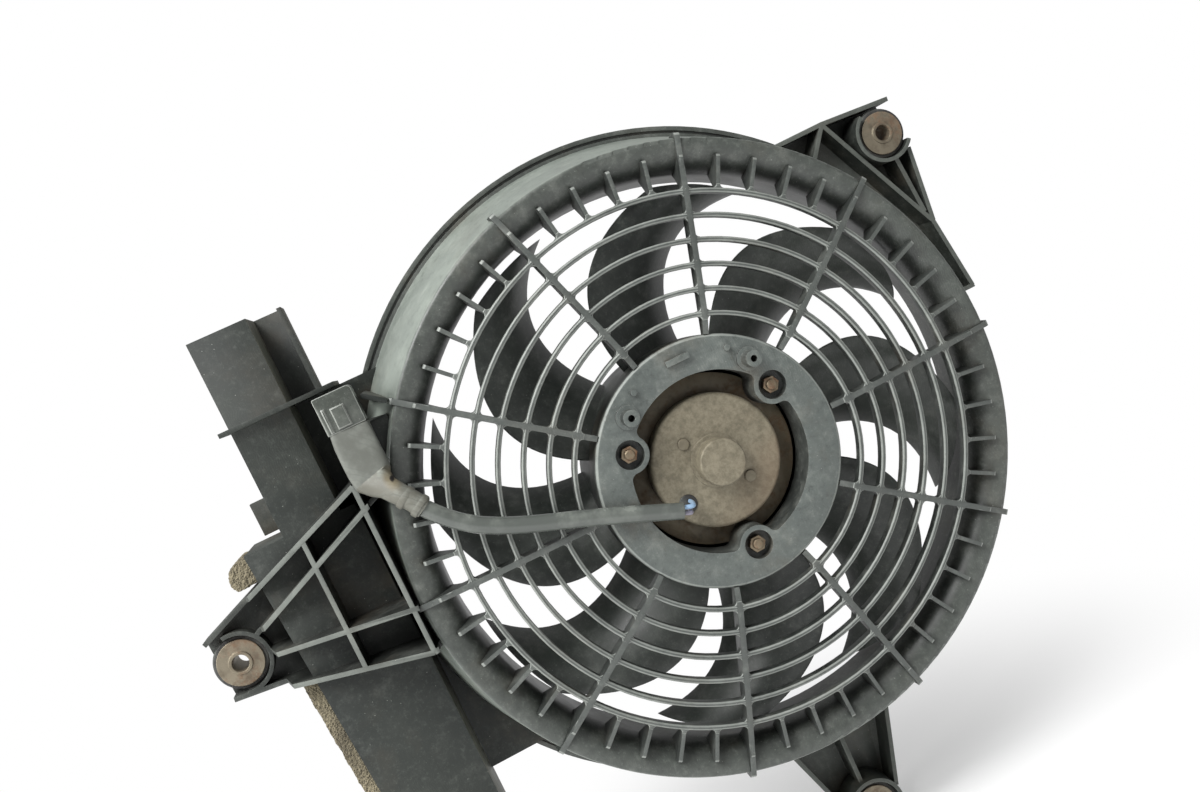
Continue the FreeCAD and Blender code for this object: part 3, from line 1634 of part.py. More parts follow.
os.makedirs("parts", exist_ok=True)
for piece in pieces:
    piece.Shape.exportStep(f"parts/{piece.Label}.step")
    box = piece.Shape.BoundBox
    print(f"{piece.Label:20s} solids {len(piece.Shape.Solids)} volume {piece.Shape.Volume:.0f}",
          [round(value, 1) for value in (box.XMin, box.XMax, box.YMin, box.YMax,
                                         box.ZMin, box.ZMax)])
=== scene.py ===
import json
import math

import bmesh
import bpy
from mathutils import Matrix, Vector


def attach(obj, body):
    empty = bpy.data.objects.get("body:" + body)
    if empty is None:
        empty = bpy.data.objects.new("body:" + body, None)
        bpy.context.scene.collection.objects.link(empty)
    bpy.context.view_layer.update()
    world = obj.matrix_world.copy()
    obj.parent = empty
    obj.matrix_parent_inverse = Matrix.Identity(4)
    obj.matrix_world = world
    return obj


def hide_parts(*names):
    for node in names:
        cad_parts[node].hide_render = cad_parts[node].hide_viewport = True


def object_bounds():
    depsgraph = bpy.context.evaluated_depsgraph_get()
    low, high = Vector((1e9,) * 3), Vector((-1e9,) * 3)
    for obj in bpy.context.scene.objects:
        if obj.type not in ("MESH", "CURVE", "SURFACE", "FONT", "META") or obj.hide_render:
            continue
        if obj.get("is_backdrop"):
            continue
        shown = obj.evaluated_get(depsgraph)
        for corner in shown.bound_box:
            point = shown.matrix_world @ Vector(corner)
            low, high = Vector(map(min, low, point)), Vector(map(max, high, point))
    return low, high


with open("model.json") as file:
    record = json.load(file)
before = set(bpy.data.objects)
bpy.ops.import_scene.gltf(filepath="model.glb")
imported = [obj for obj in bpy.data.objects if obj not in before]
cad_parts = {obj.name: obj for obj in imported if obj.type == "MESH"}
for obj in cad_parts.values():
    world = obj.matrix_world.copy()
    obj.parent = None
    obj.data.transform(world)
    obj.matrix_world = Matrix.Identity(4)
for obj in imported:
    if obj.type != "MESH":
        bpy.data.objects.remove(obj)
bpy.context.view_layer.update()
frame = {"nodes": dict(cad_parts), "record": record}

# Sizes of the object in metres. A depth is measured rearwards from the front of the guard.
MM = 0.001
SHROUD_DEPTH = 77.5 * MM
GUARD_RING_RADIUS = 140.0 * MM
GUARD_RING_PITCH = 12.7 * MM
GUARD_RINGS = 6
GUARD_BAR_HALF = 1.3 * MM
GUARD_DOME_RADIUS = 967.0 * MM
SPOKES = 10
SPOKE_HALF = 1.5 * MM
SHORT_RIBS = 4
SHORT_RIB_HALF = 1.05 * MM
KNUCKLE_FILLET = 2.3 * MM
KNUCKLE_EDGE = 0.5 * MM
CROSSING_FRONT = 0.3 * MM
CROSSING_REAR = 4.4 * MM
RIB_FRONT = 0.9 * MM
RIB_REAR = 3.6 * MM
LEAD_DEPTH = -12.6 * MM
LEAD_RADIUS = 4.4 * MM
STUD_CIRCLE = 48.1 * MM
STUD_RADIUS = 2.5 * MM
NUT_FRONT = -3.0 * MM
FAN_NUT_REAR = 71.0 * MM
SHAFT_THREAD_RADIUS = 3.0 * MM
SPRING_RADIUS = 2.0 * MM
TEAR = (-152.6 * MM, 66.4 * MM)


def at(depth):
    """The y of a depth behind the front of the guard."""
    return depth - SHROUD_DEPTH


# Node trees

# The colour sockets of a mix node, which has sockets of the same names for other kinds of value
MIX_FIRST = 6
MIX_SECOND = 7
MIX_RESULT = 2


class Wire:
    """A node's socket that can be added, subtracted, multiplied and divided."""

    def __init__(self, graph, socket):
        self.graph = graph
        self.socket = socket

    def _math(self, operation, first, second):
        return self.graph.node("ShaderNodeMath", {"operation": operation},
                               {0: first, 1: second})

    def __add__(self, other):
        return self._math("ADD", self, other)

    def __sub__(self, other):
        return self._math("SUBTRACT", self, other)

    def __mul__(self, other):
        return self._math("MULTIPLY", self, other)

    def __truediv__(self, other):
        return self._math("DIVIDE", self, other)

    def __radd__(self, other):
        return self._math("ADD", other, self)

    def __rsub__(self, other):
        return self._math("SUBTRACT", other, self)

    def __rmul__(self, other):
        return self._math("MULTIPLY", other, self)

    def smaller(self, other):
        return self._math("MINIMUM", self, other)


class Graph:
    """A node tree under construction."""

    def node(self, kind, settings=None, inputs=None, output=0):
        """A node with its settings, then its inputs, each a value or a Wire. Gives one output."""
        made = self.tree.nodes.new(kind)
        for name, value in (settings or {}).items():
            if name == "stops":
                self.set_stops(made.color_ramp, value)
            else:
                setattr(made, name, value)
        for name, value in (inputs or {}).items():
            self.feed(made.inputs[name], value)
        return Wire(self, made.outputs[output])

    def feed(self, socket, value):
        if isinstance(value, Wire):
            self.tree.links.new(value.socket, socket)
        else:
            socket.default_value = value

    def turn(self, operation, value):
        """The sine, the cosine or another function of one value."""
        return self.node("ShaderNodeMath", {"operation": operation}, {0: value})

    def point(self, x, y, z):
        return self.node("ShaderNodeCombineXYZ", None, {0: x, 1: y, 2: z})

    def part_of(self, vector, axis):
        return self.node("ShaderNodeSeparateXYZ", None, {0: vector}, axis)

    def set_stops(self, ramp, stops):
        while len(ramp.elements) < len(stops):
            ramp.elements.new(0.5)
        for element, (position, colour) in zip(ramp.elements, stops):
            element.position = position
            element.color = colour


class Shade(Graph):
    """A material under construction."""

    def __init__(self, name):
        self.material = bpy.data.materials.new(name)
        self.material.use_nodes = True
        self.tree = self.material.node_tree
        self.shader = self.tree.nodes["Principled BSDF"]

    def place(self):
        return self.node("ShaderNodeTexCoord", output="Object")

    def facing(self):
        """The surface's own normal, which turns with its piece."""
        return self.node("ShaderNodeTexCoord", output="Normal")

    def noise(self, scale, detail=4.0, rough=0.55, where=None):
        return self.node("ShaderNodeTexNoise", None, {
            "Vector": where or self.place(), "Scale": scale, "Detail": detail,
            "Roughness": rough})

    def cells(self, scale, where=None):
        return self.node("ShaderNodeTexVoronoi", None, {
            "Vector": where or self.place(), "Scale": scale}, "Distance")

    def step(self, value, low, high):
        """A smooth step from 0 at low to 1 at high."""
        return self.node("ShaderNodeMapRange", {"interpolation_type": "SMOOTHSTEP"}, {
            "Value": value, "From Min": low, "From Max": high})

    def mix(self, mask, first, second):
        made = self.tree.nodes.new("ShaderNodeMix")
        made.data_type = "RGBA"
        self.feed(made.inputs["Factor"], mask)
        self.feed(made.inputs[MIX_FIRST], first)
        self.feed(made.inputs[MIX_SECOND], second)
        return Wire(self, made.outputs[MIX_RESULT])

    def tint(self, base, *layers):
        """The base colour with each layer of mask and colour laid over it."""
        for mask, colour in layers:
            base = self.mix(mask, base, colour)
        return base

    def bump(self, height, strength, distance, below=None):
        inputs = {"Height": height, "Strength": strength, "Distance": distance}
        if below is not None:
            inputs["Normal"] = below
        return self.node("ShaderNodeBump", None, inputs)

    def up(self):
        """How far the surface faces upwards, from 0 to 1."""
        return self.step(self.part_of(self.facing(), 2), 0.0, 0.9)

    def front(self, low=0.35, high=0.95):
        """How far the surface faces the front of the fan, from 0 to 1."""
        return self.step(self.part_of(self.facing(), 1) * -1.0, low, high)

    def outward(self):
        """How far the surface faces away from the fan's axis, from 0 to 1."""
        flat = self.node("ShaderNodeVectorMath", {"operation": "MULTIPLY"},
                         {0: self.place(), 1: (1.0, 0.0, 1.0)})
        radial = self.node("ShaderNodeVectorMath", {"operation": "NORMALIZE"}, {0: flat})
        along = self.node("ShaderNodeVectorMath", {"operation": "DOT_PRODUCT"},
                          {0: radial, 1: self.facing()}, "Value")
        return self.step(along, 0.3, 0.9)

    def corners(self, reach):
        """1 in the open and 0 deep in a corner or a slot."""
        return self.node("ShaderNodeAmbientOcclusion", {"samples": 6, "only_local": False},
                         {"Distance": reach}, "AO")

    def finish(self, **sockets):
        for name, value in sockets.items():
            self.feed(self.shader.inputs[name.replace("_", " ")], value)
        return self.material


def rgb(red, green, blue):
    """A colour that was read as it looks on a screen, from 0 to 255, as the shader needs it."""
    def linear(value):
        value = value / 255
        return value / 12.92 if value <= 0.04045 else ((value + 0.055) / 1.055) ** 2.4
    return (linear(red), linear(green), linear(blue), 1.0)


# Finishes

DUST = rgb(146, 151, 143)
CHALK = rgb(190, 192, 184)
SOIL = rgb(96, 84, 68)
# Dark mottling at random, and painted shade in corners and creases
DARK_MOTTLE_AND_SHADE = rgb(20, 21, 20)


def dusty_plastic(name, base, worn, dust=0.5, gloss=0.42, grain=1.0, face=None, painted_outside_sheen=None,
                  edge=None, flank_light_and_streaks=None, shine=0.5, stain=0.0, flecks=0.4):
    """Black moulded plastic with fine grain, a bloom of dust, scuffs, and dirt and painted shade in
    the corners.

    face is the paler tone of what looks to the front, which is painted light; outside that of a
    wall round the axis, which is a painted reflection; flank that of a wall that looks to +x,
    which is painted light with streaks of dirt; and edge that of the front edges, which are worn
    pale and carry a painted highlight. stain is the amount of brown dirt."""
    shade = Shade(name)
    open_air = shade.corners(0.014)
    cloud = shade.noise(38.0, 5.0, 0.62)
    patch = shade.noise(9.0, 3.0, 0.5)
    speck = shade.cells(1500.0)
    grit = shade.step(shade.noise(900.0, 2.0), 0.62, 0.74)
    fleck = shade.step(shade.cells(210.0), 0.055, 0.03)
    bloom = shade.step(cloud, 0.36, 0.74) * (0.3 + 0.7 * patch) * (0.45 + shade.up() * 0.55)
    # Corners and slots, which get painted shade and some brown dirt
    corner_shade_and_dirt = shade.step(open_air, 0.6, 0.15)
    scratch_field = shade.node("ShaderNodeTexWave", {"wave_type": "BANDS"}, {
        "Vector": shade.place(), "Scale": 260.0, "Distortion": 14.0, "Detail": 3.0,
        "Detail Scale": 0.6})
    scratch = shade.step(scratch_field, 0.965, 0.995) * shade.step(patch, 0.48, 0.62)
    colour = shade.mix(shade.step(patch, 0.3, 0.75), base, worn)
    # A painted reflection: the wall that looks away from the axis is painted paler
    if painted_outside_sheen is not None:
        colour = shade.mix(shade.outward() * (0.8 + cloud * 0.3), colour, painted_outside_sheen)
    # Painted light: what looks to the front is painted paler, except in corners
    if face is not None:
        colour = shade.mix(shade.front() * shade.step(open_air, 0.3, 0.75)
                           * (0.75 + patch * 0.35), colour, face)
    # Painted light with streaks of dirt on walls that look to +x
    if flank_light_and_streaks is not None:
        stretched = shade.node("ShaderNodeVectorMath", {"operation": "MULTIPLY"},
                               {0: shade.place(), 1: (110.0, 110.0, 12.0)})
        streak = shade.step(shade.noise(1.0, 4.0, 0.6, stretched), 0.3, 0.7)
        sideways = shade.step(shade.part_of(shade.facing(), 0), 0.3, 0.8)
        colour = shade.mix(sideways * (0.35 + streak * 0.6), colour, flank_light_and_streaks)
    # The front edges are painted paler, for their wear and as a painted highlight
    if edge is not None:
        edge_wear_and_highlight = shade.front(0.25, 0.6) * (1 - shade.front(0.9, 0.99)) * (0.35 + cloud * 0.9)
        colour = shade.mix(edge_wear_and_highlight.smaller(1.0), colour, edge)
    brown = shade.step(shade.noise(24.0, 6.0, 0.65), 0.5, 0.7) * (1.3 - open_air)
    mottle = shade.noise(230.0, 7.0, 0.75)
    colour = shade.tint(
        colour,
        # dark mottling at random, in the colour of the painted shade
        (shade.step(mottle, 0.5, 0.3) * (0.55 * dust), DARK_MOTTLE_AND_SHADE),
        (shade.step(mottle, 0.5, 0.72) * (0.3 * dust), DUST),
        (brown.smaller(1.0) * stain, SOIL),
        (bloom * (0.34 * dust), DUST),
        (shade.step(shade.noise(75.0, 8.0, 0.75), 0.48, 0.85) * (0.3 * dust), CHALK),
        # painted shade in the corners, then brown dirt in them
        (corner_shade_and_dirt * 0.55, DARK_MOTTLE_AND_SHADE),
        (corner_shade_and_dirt * shade.step(cloud, 0.45, 0.65) * (0.35 * dust), SOIL),
        (grit * (0.26 * dust), DUST),
        (fleck * flecks, CHALK),
        (scratch * (0.28 * dust), DUST))
    rough = gloss + bloom * 0.3 + grit * 0.1 + cloud * 0.12
    grain_height = shade.noise(2200.0, 2.0) * 0.7 + speck * 0.3
    normal = shade.bump(grain_height, 0.12 * grain, 0.0002)
    normal = shade.bump(cloud * 0.5 + mottle * 0.5, 0.12, 0.0006, normal)
    return shade.finish(Base_Color=colour, Roughness=rough + mottle * 0.1, Normal=normal,
                        Specular_IOR_Level=shine)


def aged_steel(name, clean, rust, dark, amount, metal=0.75):
    """Zinc-plated or bare steel with patches of rust, dull stains and painted shade in its corners.
    """
    shade = Shade(name)
    broad = shade.noise(60.0, 5.0, 0.65)
    fine = shade.noise(420.0, 5.0, 0.7)
    pits = shade.cells(900.0)
    spread = shade.step(broad * 0.6 + fine * 0.4, 0.62 - amount * 0.35, 0.72 - amount * 0.2)
    stain = shade.step(shade.noise(160.0, 4.0), 0.45, 0.75)
    # Painted shade: corners and slots are darkened
    corner_shade = shade.step(shade.corners(0.006), 0.6, 0.1)
    colour = shade.tint(clean, (spread, rust), (stain * 0.5, dark), (corner_shade * 0.65, dark))
    rough = 0.4 + spread * 0.42 + fine * 0.12
    height = fine * 0.6 + pits * 0.4
    normal = shade.bump(height, 0.3, 0.0003)
    return shade.finish(Base_Color=colour, Roughness=rough.smaller(0.95),
                        Metallic=(1 - spread) * metal, Normal=normal)


def cap_metal():
    """Dull tan-grey end cap, browner and rustier towards its lower right, with painted shade in its
    corners.
    """
    shade = Shade("cap_metal")
    place = shade.place()
    lower_right = shade.step(
        shade.part_of(place, 0) * 14.0 - shade.part_of(place, 2) * 16.0, -0.35, 0.75)
    broad = shade.noise(48.0, 5.0, 0.6)
    mottle = shade.noise(330.0, 6.0, 0.7)
    pits = shade.step(shade.cells(520.0), 0.16, 0.05)
    rust = shade.step(broad * 0.55 + lower_right * 0.45, 0.45, 0.85)
    colour = shade.tint(
        shade.mix(shade.step(mottle, 0.32, 0.68), rgb(104, 98, 82), rgb(132, 125, 107)),
        (rust * 0.45, rgb(116, 95, 74)),
        (shade.step(mottle, 0.6, 0.78) * rust * 0.4, rgb(88, 60, 43)),
        (pits * 0.3, rgb(84, 72, 58)),
        # painted shade in the corners
        (shade.step(shade.corners(0.008), 0.7, 0.2) * 0.7, rgb(44, 37, 30)))
    rough = 0.5 + mottle * 0.22 + rust * 0.14
    normal = shade.bump(mottle * 0.8 + shade.noise(1500.0, 2.0) * 0.2, 0.22, 0.00035)
    return shade.finish(Base_Color=colour, Roughness=rough, Metallic=(1 - rust) * 0.25,
                        Normal=normal)


def soft_rubber(name, base, dust=0.4, rough=0.7, wrinkled=0.0, torn=None):
    """Matt rubber with a bloom of dust and, where it is wrinkled, fine creases
    with painted shade in them.

    torn is the x and z of a small tear, painted as a dark spot of shade, with brown dirt
    round it."""
    shade = Shade(name)
    cloud = shade.noise(110.0, 5.0, 0.6)
    bloom = shade.step(cloud, 0.4, 0.72) * (0.4 + shade.up() * 0.6)
    corner = shade.step(shade.corners(0.006), 0.6, 0.15)
    diagonal = {"wave_type": "BANDS", "bands_direction": "DIAGONAL"}
    folds = shade.node("ShaderNodeTexWave", diagonal, {
        "Vector": shade.place(), "Scale": 150.0, "Distortion": 5.0, "Detail": 2.0,
        "Detail Scale": 0.8})
    # Creases, with painted shade in them
    crease = shade.step(folds, 0.25, 0.02) * shade.step(cloud, 0.42, 0.6)
    colour = shade.tint(base, (bloom * dust, DUST), (corner * 0.4 * dust, SOIL),
                        (crease * wrinkled * 0.3, DARK_MOTTLE_AND_SHADE))
    if torn is not None:
        beside = shade.node("ShaderNodeVectorMath", {"operation": "MULTIPLY"},
                            {0: shade.place(), 1: (1.0, 0.0, 0.7)})
        away = shade.node("ShaderNodeVectorMath", {"operation": "DISTANCE"},
                          {0: beside, 1: (torn[0], 0.0, torn[1] * 0.7)}, "Value")
        away = away + cloud * (1.2 * MM)
        # The tear is a dark spot of painted shade, with brown dirt round it
        colour = shade.tint(colour,
                            (shade.step(away, 6.0 * MM, 2.0 * MM) * 0.5, rgb(128, 114, 84)),
                            (shade.step(away, 2.0 * MM, 1.2 * MM), rgb(24, 20, 17)))
    normal = shade.bump(shade.noise(1300.0, 3.0), 0.2, 0.0003)
    normal = shade.bump(1 - crease, 0.4 * wrinkled, 0.0003, normal)
    return shade.finish(Base_Color=colour, Roughness=rough + bloom * 0.2, Normal=normal)


def open_foam():
    """Aged open-cell foam: yellow-brown walls round pores that are painted dark with shade."""
    shade = Shade("open_foam")
    place = shade.place()
    warp = shade.node("ShaderNodeVectorMath", {"operation": "MULTIPLY_ADD"}, {
        0: shade.node("ShaderNodeTexNoise", None, {"Vector": place, "Scale": 160.0}, 1),
        1: (0.003, 0.003, 0.003), 2: place})
    pores = shade.cells(900.0, warp)
    fine = shade.cells(2100.0, warp)
    broad = shade.noise(45.0, 4.0)
    # The large and the small pores are painted dark with shade
    pore_shade = shade.step(pores, 0.46, 0.2)
    colour = shade.tint(
        shade.mix(shade.step(broad, 0.35, 0.7), rgb(132, 124, 102), rgb(104, 97, 80)),
        (pore_shade * 0.7, rgb(46, 42, 35)),
        (shade.step(fine, 0.35, 0.1) * 0.35, rgb(70, 64, 53)),
        (shade.step(broad, 0.6, 0.8) * 0.45, rgb(64, 60, 52)))
    normal = shade.bump(pores * 0.8 + fine * 0.2, 0.9, 0.0012)
    return shade.finish(Base_Color=colour, Roughness=0.95, Normal=normal)


def smooth_tube(name, base, gloss=0.33, dust=0.3):
    """Extruded sleeve or wire insulation: smooth, slightly waxy, with dust along the top, which on
    the lead is also a painted highlight.
    """
    shade = Shade(name)
    streak = shade.noise(70.0, 4.0, 0.6)
    bloom = shade.step(streak, 0.42, 0.75) * (0.35 + shade.up() * 0.65)
    colour = shade.tint(base, (bloom * dust, DUST))
    normal = shade.bump(shade.noise(900.0, 2.0), 0.06, 0.0003)
    return shade.finish(Base_Color=colour, Roughness=gloss + bloom * 0.25, Normal=normal)


def plain_metal(name, light, dark, rough=0.35, metal=0.9):
    shade = Shade(name)
    fine = shade.noise(700.0, 4.0)
    colour = shade.mix(shade.step(fine, 0.35, 0.7), light, dark)
    normal = shade.bump(fine, 0.1, 0.0002)
    return shade.finish(Base_Color=colour, Roughness=rough + fine * 0.15, Metallic=metal,
                        Normal=normal)


# Each face tone below is painted light, each edge tone wear with a painted highlight, and the flank
# tone painted light with streaks of dirt
FINISH = {
    "shroud_plastic": dusty_plastic("shroud_plastic", rgb(28, 32, 30), rgb(42, 46, 42), 0.28,
                                    0.44, flank_light_and_streaks=rgb(98, 98, 88), shine=0.35, stain=0.3),
    "guard_plastic": dusty_plastic("guard_plastic", rgb(34, 37, 35), rgb(46, 49, 47), 0.5, 0.3,
                                   face=rgb(74, 78, 75), edge=rgb(136, 140, 135), stain=0.3),
    "fan_plastic": dusty_plastic("fan_plastic", rgb(42, 46, 43), rgb(64, 68, 64), 0.45, 0.24,
                                 flecks=0.25),
    "seal_rubber": soft_rubber("seal_rubber", rgb(42, 41, 40)),
    "seal_foam": open_foam(),
    "sleeve_steel": aged_steel("sleeve_steel", rgb(128, 120, 104), rgb(108, 88, 69),
                               rgb(66, 55, 44), 0.44),
    "cap_steel": cap_metal(),
    "rivet_steel": aged_steel("rivet_steel", rgb(118, 111, 94), rgb(100, 82, 62),
                              rgb(50, 42, 32), 0.3, 0.3),
    "bracket_steel": aged_steel("bracket_steel", rgb(88, 80, 64), rgb(84, 68, 49),
                                rgb(46, 40, 31), 0.5, 0.25),
    "fastener_steel": aged_steel("fastener_steel", rgb(126, 114, 95), rgb(114, 80, 56),
                                 rgb(60, 48, 36), 0.4),
    "can_steel": dusty_plastic("can_steel", rgb(40, 40, 41), rgb(54, 53, 52), 0.6, 0.35),
    "shaft_steel": plain_metal("shaft_steel", rgb(186, 184, 180), rgb(140, 136, 130)),
    "magnet_ferrite": plain_metal("magnet_ferrite", rgb(70, 70, 72), rgb(48, 48, 50), 0.6, 0.2),
    "core_steel": plain_metal("core_steel", rgb(150, 150, 152), rgb(104, 104, 106), 0.45, 0.8),
    "winding_copper": plain_metal("winding_copper", rgb(186, 96, 54), rgb(138, 66, 36), 0.3),
    "commutator_copper": plain_metal("commutator_copper", rgb(200, 128, 88), rgb(140, 82, 54)),
    "bush_bronze": plain_metal("bush_bronze", rgb(166, 130, 84), rgb(120, 92, 58), 0.5, 0.7),
    "card_board": plain_metal("card_board", rgb(120, 78, 46), rgb(92, 58, 34), 0.6, 0.0),
    "brush_carbon": plain_metal("brush_carbon", rgb(52, 52, 54), rgb(36, 36, 38), 0.55, 0.1),
    "spring_steel": plain_metal("spring_steel", rgb(178, 176, 172), rgb(130, 128, 124), 0.3),
    "insert_metal": plain_metal("insert_metal", rgb(176, 176, 176), rgb(132, 132, 132)),
    "terminal_brass": plain_metal("terminal_brass", rgb(198, 176, 112), rgb(150, 130, 84)),
    "plug_dark": dusty_plastic("plug_dark", rgb(46, 50, 46), rgb(82, 86, 80), 0.5, 0.15, 0.5,
                               edge=rgb(150, 153, 147)),
    "plug_grey": soft_rubber("plug_grey", rgb(90, 92, 86), 0.6, 0.5, 0.3, TEAR),
    "boot_rubber": soft_rubber("boot_rubber", rgb(92, 91, 82), 0.6, 0.55, 0.6, TEAR),
    # The dust along the lead's top is strong enough to be a painted highlight too
    "lead_tube": smooth_tube("lead_tube", rgb(82, 86, 82), 0.14, 0.6),
    "wire_blue": smooth_tube("wire_blue", rgb(142, 172, 202)),
    "wire_grey": smooth_tube("wire_grey", rgb(134, 130, 144)),
}

# Pieces whose finish differs from the rest of their slot
# Each face tone below is painted light, each edge tone wear with a painted highlight, and the
# outside tone a painted reflection
OWN_FINISH = {
    "shroud_ring": dusty_plastic("cone_plastic", rgb(34, 37, 34), rgb(46, 49, 46), 0.6, 0.25,
                                 face=rgb(66, 70, 66), painted_outside_sheen=rgb(116, 123, 116), stain=0.35),
    "motor_ring": dusty_plastic("motor_ring_plastic", rgb(38, 41, 39), rgb(54, 57, 55), 0.75, 0.34,
                                face=rgb(84, 90, 87), edge=rgb(140, 145, 140), stain=0.7),
    "bracket_left": dusty_plastic("arm_plastic", rgb(20, 22, 20), rgb(30, 32, 29), 0.35, 0.4,
                                  face=rgb(46, 49, 46), edge=rgb(100, 104, 99), shine=0.35,
                                  stain=0.4),
    "bracket_upper": dusty_plastic("upper_arm_plastic", rgb(30, 33, 30), rgb(44, 47, 43), 0.4,
                                   0.38, face=rgb(82, 86, 81), edge=rgb(132, 136, 130), shine=0.4,
                                   stain=0.35),
    "bracket_lower": dusty_plastic("lower_arm_plastic", rgb(38, 41, 38), rgb(52, 55, 51), 0.4,
                                   0.36, face=rgb(66, 70, 65), edge=rgb(118, 122, 116), stain=0.4),
}

SLOT_OF = {part["node"]: part["material_slot"] for part in frame["record"]["subparts"]}
BODY_OF = {node: body for body, nodes in frame["record"]["behaviour"]["bodies"].items()
           for node in nodes}


def dress(piece, node):
    """Gives a piece the body, the slot and the finish of the CAD node that it stands for."""
    piece.data.materials.clear()
    piece.data.materials.append(OWN_FINISH.get(node, FINISH[SLOT_OF[node]]))
    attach(piece, BODY_OF[node])
    return piece


def new_piece(name, mesh):
    piece = bpy.data.objects.new(name, mesh)
    bpy.context.scene.collection.objects.link(piece)
    return piece


def baked(piece):
    """The piece with its modifiers made real."""
    bpy.context.view_layer.update()
    graph = bpy.context.evaluated_depsgraph_get()
    mesh = bpy.data.meshes.new_from_object(piece.evaluated_get(graph))
    piece.modifiers.clear()
    piece.data = mesh
    return piece


# How near points are merged, and the angles of a flat face, of an edge that is rounded, and of one
# that stays sharp in a CAD node's copy and in a new piece
MERGE_REACH = 1e-6
FLAT_ANGLE = math.radians(0.5)
ROUNDED_ANGLE = math.radians(38)
COPY_SHARP_ANGLE = math.radians(35)
NEW_SHARP_ANGLE = math.radians(40)


def softened(node, radius, segments):
    """A copy of a CAD node with merged faces, rounded edges and smooth curved walls."""
    mesh = frame["nodes"][node].data.copy()
    shape = bmesh.new()
    shape.from_mesh(mesh)
    bmesh.ops.remove_doubles(shape, verts=shape.verts, dist=MERGE_REACH)
    bmesh.ops.dissolve_limit(shape, angle_limit=FLAT_ANGLE, verts=shape.verts,
                             edges=shape.edges)
    shape.to_mesh(mesh)
    shape.free()
    piece = new_piece(f"{node}_finished", mesh)
    bevel = piece.modifiers.new("edges", "BEVEL")
    bevel.width = radius
    bevel.segments = segments
    bevel.limit_method = "ANGLE"
    bevel.angle_limit = ROUNDED_ANGLE
    bevel.use_clamp_overlap = True
    baked(piece)
    piece.data.shade_smooth()
    piece.data.set_sharp_from_angle(angle=COPY_SHARP_ANGLE)
    dress(piece, node)
    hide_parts(node)


def closed_mesh(name, faces_of):
    """A mesh whose faces are drawn by faces_of in a bmesh, merged and turned outwards."""
    mesh = bpy.data.meshes.new(name)
    shape = bmesh.new()
    faces_of(shape)
    bmesh.ops.remove_doubles(shape, verts=shape.verts, dist=MERGE_REACH)
    bmesh.ops.recalc_face_normals(shape, faces=shape.faces)
    shape.to_mesh(mesh)
    shape.free()
    return mesh


def lofted(name, rings):
    """A closed skin over rings of points, each ring with as many points as the next."""
    def draw(shape):
        rows = [[shape.verts.new(point) for point in ring] for ring in rings]
        count = len(rows[0])
        for row, following in zip(rows, rows[1:]):
            for index in range(count):
                after = (index + 1) % count
                shape.faces.new((row[index], row[after], following[after], following[index]))
        shape.faces.new(rows[0])
        shape.faces.new(rows[-1])
    return closed_mesh(name, draw)


def finished(name, mesh, node, replaces=True):
    """A new piece for a CAD node, smooth but for its sharp edges."""
    piece = new_piece(name, mesh)
    piece.data.shade_smooth()
    piece.data.set_sharp_from_angle(angle=NEW_SHARP_ANGLE)
    dress(piece, node)
    if replaces:
        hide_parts(node)


class Grower(Graph):
    """A Geometry Nodes tree with named sizes, baked into one plain mesh."""

    def __init__(self, name, **sizes):
        self.name = name
        self.sizes = sizes
        self.tree = bpy.data.node_groups.new(name, "GeometryNodeTree")
        self.keys = {}
        for label, amount in sizes.items():
            kind = "NodeSocketInt" if isinstance(amount, int) else "NodeSocketFloat"
            made = self.tree.interface.new_socket(label, in_out="INPUT", socket_type=kind)
            self.keys[label] = made.identifier
        self.tree.interface.new_socket("Geometry", in_out="OUTPUT",
                                       socket_type="NodeSocketGeometry")
        self.entry = self.tree.nodes.new("NodeGroupInput")

    def __getitem__(self, label):
        return Wire(self, self.entry.outputs[label])

    def index(self):
        return self.node("GeometryNodeInputIndex")

    def scatter(self, count, position, rotation, template):
        """Copies of a template at points that are worked out from their index."""
        line = self.node("GeometryNodeMeshLine", None, {"Count": count})
        moved = self.node("GeometryNodeSetPosition", None, {"Geometry": line,
                                                            "Position": position})
        if isinstance(template, bpy.types.Object):
            template = self.node("GeometryNodeObjectInfo", None, {"Object": template}, "Geometry")
        return self.node("GeometryNodeInstanceOnPoints", None, {
            "Points": moved, "Instance": template, "Rotation": rotation})

    def grown(self, geometry, node):
        finish = OWN_FINISH.get(node, FINISH[SLOT_OF[node]])
        real = self.node("GeometryNodeRealizeInstances", None, {0: geometry})
        painted = self.node("GeometryNodeSetMaterial", None, {"Geometry": real,
                                                              "Material": finish})
        leave = self.tree.nodes.new("NodeGroupOutput")
        self.feed(leave.inputs[0], painted)
        piece = new_piece(self.name, bpy.data.meshes.new(self.name))
        modifier = piece.modifiers.new("grown", "NODES")
        modifier.node_group = self.tree
        for label, amount in self.sizes.items():
            modifier[self.keys[label]] = amount
        baked(piece)
        piece.data.shade_smooth()
        piece.data.set_sharp_from_angle(angle=NEW_SHARP_ANGLE)
        return dress(piece, node)


# Guard: the fillets where its bars, spokes and short ribs meet

FILLET_STEPS = 4
RIB_FILLET_INSIDE = 0.2 * MM


def fillet_plan(across, along, fillet, quarters):
    """The outline of the fillets between a bar that runs along x and one that runs along z."""
    points = []
    for x_side, z_side in quarters:
        arc = []
        for step in range(FILLET_STEPS + 1):
            turn = math.pi * (1 + step / FILLET_STEPS / 2)
            arc.append((x_side * (across + fillet + fillet * math.cos(turn)),
                        z_side * (along + fillet + fillet * math.sin(turn))))
        points += arc if x_side * z_side < 0 else arc[::-1]
    return points


def fillet_block(name, plan, front, rear, edge):
    """A fillet's plan between two depths, with a rounded front edge."""
    rings = []
    for share, depth in ((1.0, front), (0.55, front + edge * 0.25), (0.0, front + edge),
                         (0.0, rear)):
        ring = []
        for x, z in plan:
            length = math.hypot(x, z)
            shrink = 1 - share * edge / length
            ring.append((x * shrink, depth, z * shrink))
        rings.append(ring)
    return new_piece(name, lofted(name, rings))


